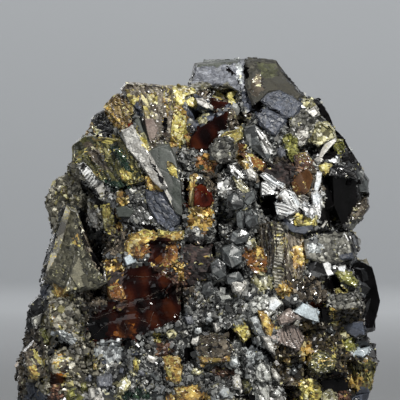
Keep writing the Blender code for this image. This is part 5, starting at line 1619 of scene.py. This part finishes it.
# The studio: a pale bowl of floor and wall, and soft lights that the camera doesn't see.
BOWL_TONE = (188, 191, 194)
BOWL_MOTTLE = 0.03
BOWL_ROUGHNESS = 0.9
FLOOR_RADIUS = 2.4
CORNER_RADIUS = 0.6
WALL_HEIGHT = 3.2
BOWL_SIDES = 96
CORNER_STEPS = 12
# A soft painted shadow darkens the floor towards a place behind the specimen, and painted shade keeps the
# floor darker than the wall.
FLOOR_PAINTED_SHADOW_AT = (-0.3, 0.3, 0.0)
FLOOR_PAINTED_SHADOW_REACH = 1.2
FLOOR_PAINTED_SHADOW = 0.5
FLOOR_PAINTED_SHADE = 0.58  # of the wall's
# The lights, as (name, place, target, size, power, colour).
HEART = (0, 0, 0.045)
LIGHTS = (
    ("key", (0.42, -0.62, 0.72), HEART, 0.16, 12.0, (1.0, 0.98, 0.94)),
    ("fill", (-0.7, -0.7, 0.35), HEART, 0.5, 2.0, (0.97, 0.98, 1.0)),
    ("top", (-0.1, 0.25, 0.9), HEART, 0.4, 3.5, (1, 1, 1)),
    ("back", (-0.5, 0.8, 0.45), HEART, 0.5, 2.2, (1, 1, 1)),
    ("backdrop", (0.3, 1.2, 1.5), (0, 3.0, 0.5), 1.2, 41.0, (1, 1, 1)),
)
AIR_TONE = (0.9, 0.93, 0.96, 1)
AIR_STRENGTH = 0.05
CLIP_START = 0.05
CLIP_END = 20


def paper():
    """The bowl's matt material, with a painted shadow and painted shade on its floor."""
    material, tree, shader = new_nodes("studio_paper")
    place = object_place(tree)
    cloud = noise(tree, place, Scale=2.0, Detail=2.0)
    tone = add(tree, "ShaderNodeMix", [("Factor", cloud)], data_type="RGBA")
    tone.inputs[6].default_value = (*linear(BOWL_TONE) * (1 - BOWL_MOTTLE), 1)
    tone.inputs[7].default_value = (*linear(BOWL_TONE) * (1 + BOWL_MOTTLE), 1)
    # A painted shadow on the floor, and painted shade that keeps the floor darker than the wall.
    apart = add(tree, "ShaderNodeVectorMath", [(0, place)], operation="DISTANCE")
    apart.inputs[1].default_value = FLOOR_PAINTED_SHADOW_AT
    shade = carried(tree, apart.outputs["Value"], (0, FLOOR_PAINTED_SHADOW_REACH), (FLOOR_PAINTED_SHADOW, 1))
    height = add(tree, "ShaderNodeSeparateXYZ", [(0, place)]).outputs["Z"]
    floor_painted_shade = carried(tree, height, (0, CORNER_RADIUS), (FLOOR_PAINTED_SHADE, 1))
    paint(tree, shader, tone.outputs[2], combined(tree, "MULTIPLY", shade, floor_painted_shade))
    shader.inputs["Roughness"].default_value = BOWL_ROUGHNESS
    return material


def build_bowl():
    """The floor, a rounded corner and the wall, turned about the specimen."""
    profile = [(0.0, 0.0), (FLOOR_RADIUS, 0.0)]
    for k in range(1, CORNER_STEPS + 1):
        bend = math.pi / 2 * k / CORNER_STEPS
        profile.append((FLOOR_RADIUS + CORNER_RADIUS * math.sin(bend), CORNER_RADIUS * (1 - math.cos(bend))))
    profile.append((FLOOR_RADIUS + CORNER_RADIUS, WALL_HEIGHT))
    turns = [2 * math.pi * k / BOWL_SIDES for k in range(BOWL_SIDES)]
    work = bmesh.new()
    rings = []
    for radius, height in profile:
        rings.append([work.verts.new((radius * math.cos(turn), radius * math.sin(turn), height))
                      for turn in (turns if radius else turns[:1])])
    for inner, outer in zip(rings, rings[1:]):
        for k in range(BOWL_SIDES):
            following = (k + 1) % BOWL_SIDES
            if len(inner) == 1:
                work.faces.new((inner[0], outer[k], outer[following]))
            else:
                work.faces.new((inner[k], outer[k], outer[following], inner[following]))
    for face in work.faces:
        face.smooth = True
    mesh = bpy.data.meshes.new("studio_bowl")
    work.to_mesh(mesh)
    work.free()
    mesh.materials.append(paper())
    bowl = bpy.data.objects.new("studio_bowl", mesh)
    bpy.context.scene.collection.objects.link(bowl)


def area_light(name, place, target, size, power, tone):
    """A round lamp at a place that shines at a target."""
    light = bpy.data.lights.new(name, "AREA")
    light.shape = "DISK"
    light.size = size
    light.energy = power
    light.color = tone
    lamp = bpy.data.objects.new(name, light)
    lamp.location = place
    lamp.rotation_euler = (Vector(target) - Vector(place)).to_track_quat("-Z", "Y").to_euler()
    lamp.visible_camera = False
    bpy.context.scene.collection.objects.link(lamp)


def build_studio():
    """The bowl, the lights and the air's faint light."""
    build_bowl()
    for light in LIGHTS:
        area_light(*light)
    world = bpy.data.worlds.new("studio_air")
    world.use_nodes = True
    air = world.node_tree.nodes["Background"]
    air.inputs["Color"].default_value = AIR_TONE
    air.inputs["Strength"].default_value = AIR_STRENGTH
    bpy.context.scene.world = world


def build_camera():
    """The photograph's camera."""
    camera = bpy.data.cameras.new("camera")
    camera.sensor_width = SENSOR_WIDTH
    camera.lens = SENSOR_WIDTH * CAMERA_DISTANCE / (FRAME_PIXELS * PIXEL)
    camera.clip_start = CLIP_START
    camera.clip_end = CLIP_END
    holder = bpy.data.objects.new("camera", camera)
    holder.location = (CAMERA_X * MM, -CAMERA_DISTANCE * MM, CAMERA_Z * MM)
    holder.rotation_euler = (math.pi / 2, 0, 0)
    bpy.context.scene.collection.objects.link(holder)
    bpy.context.scene.camera = holder


def build_specimen():
    """The skin, the raised crystals, the grains and the cracks."""
    materials = (stone_like(), glass_like())
    points, faces = cad_mesh()
    islands = islands_of(points, faces)
    tree = BVHTree.FromPolygons([Vector(place) for place in points], [tuple(face) for face in faces])
    PAINTED[:] = grown_to_edge(PAINTED, tree)
    skin = build_skin(points, faces, islands, tree, materials)
    crystals = [raised_crystal(region, k, tree) for k, region in enumerate(REGIONS) if region.lift > 0]
    crystals = [one for one in crystals if one]
    for k in range(CRYSTAL_PIECES):
        new_piece(f"raised_crystals_{k + 1}", *joined(crystals[k::CRYSTAL_PIECES]), materials)
    build_grains(points, faces, islands, tree, materials)
    build_cracks(skin, materials)


build_specimen()
build_studio()
build_camera()
bpy.context.scene.view_settings.view_transform = "Standard"
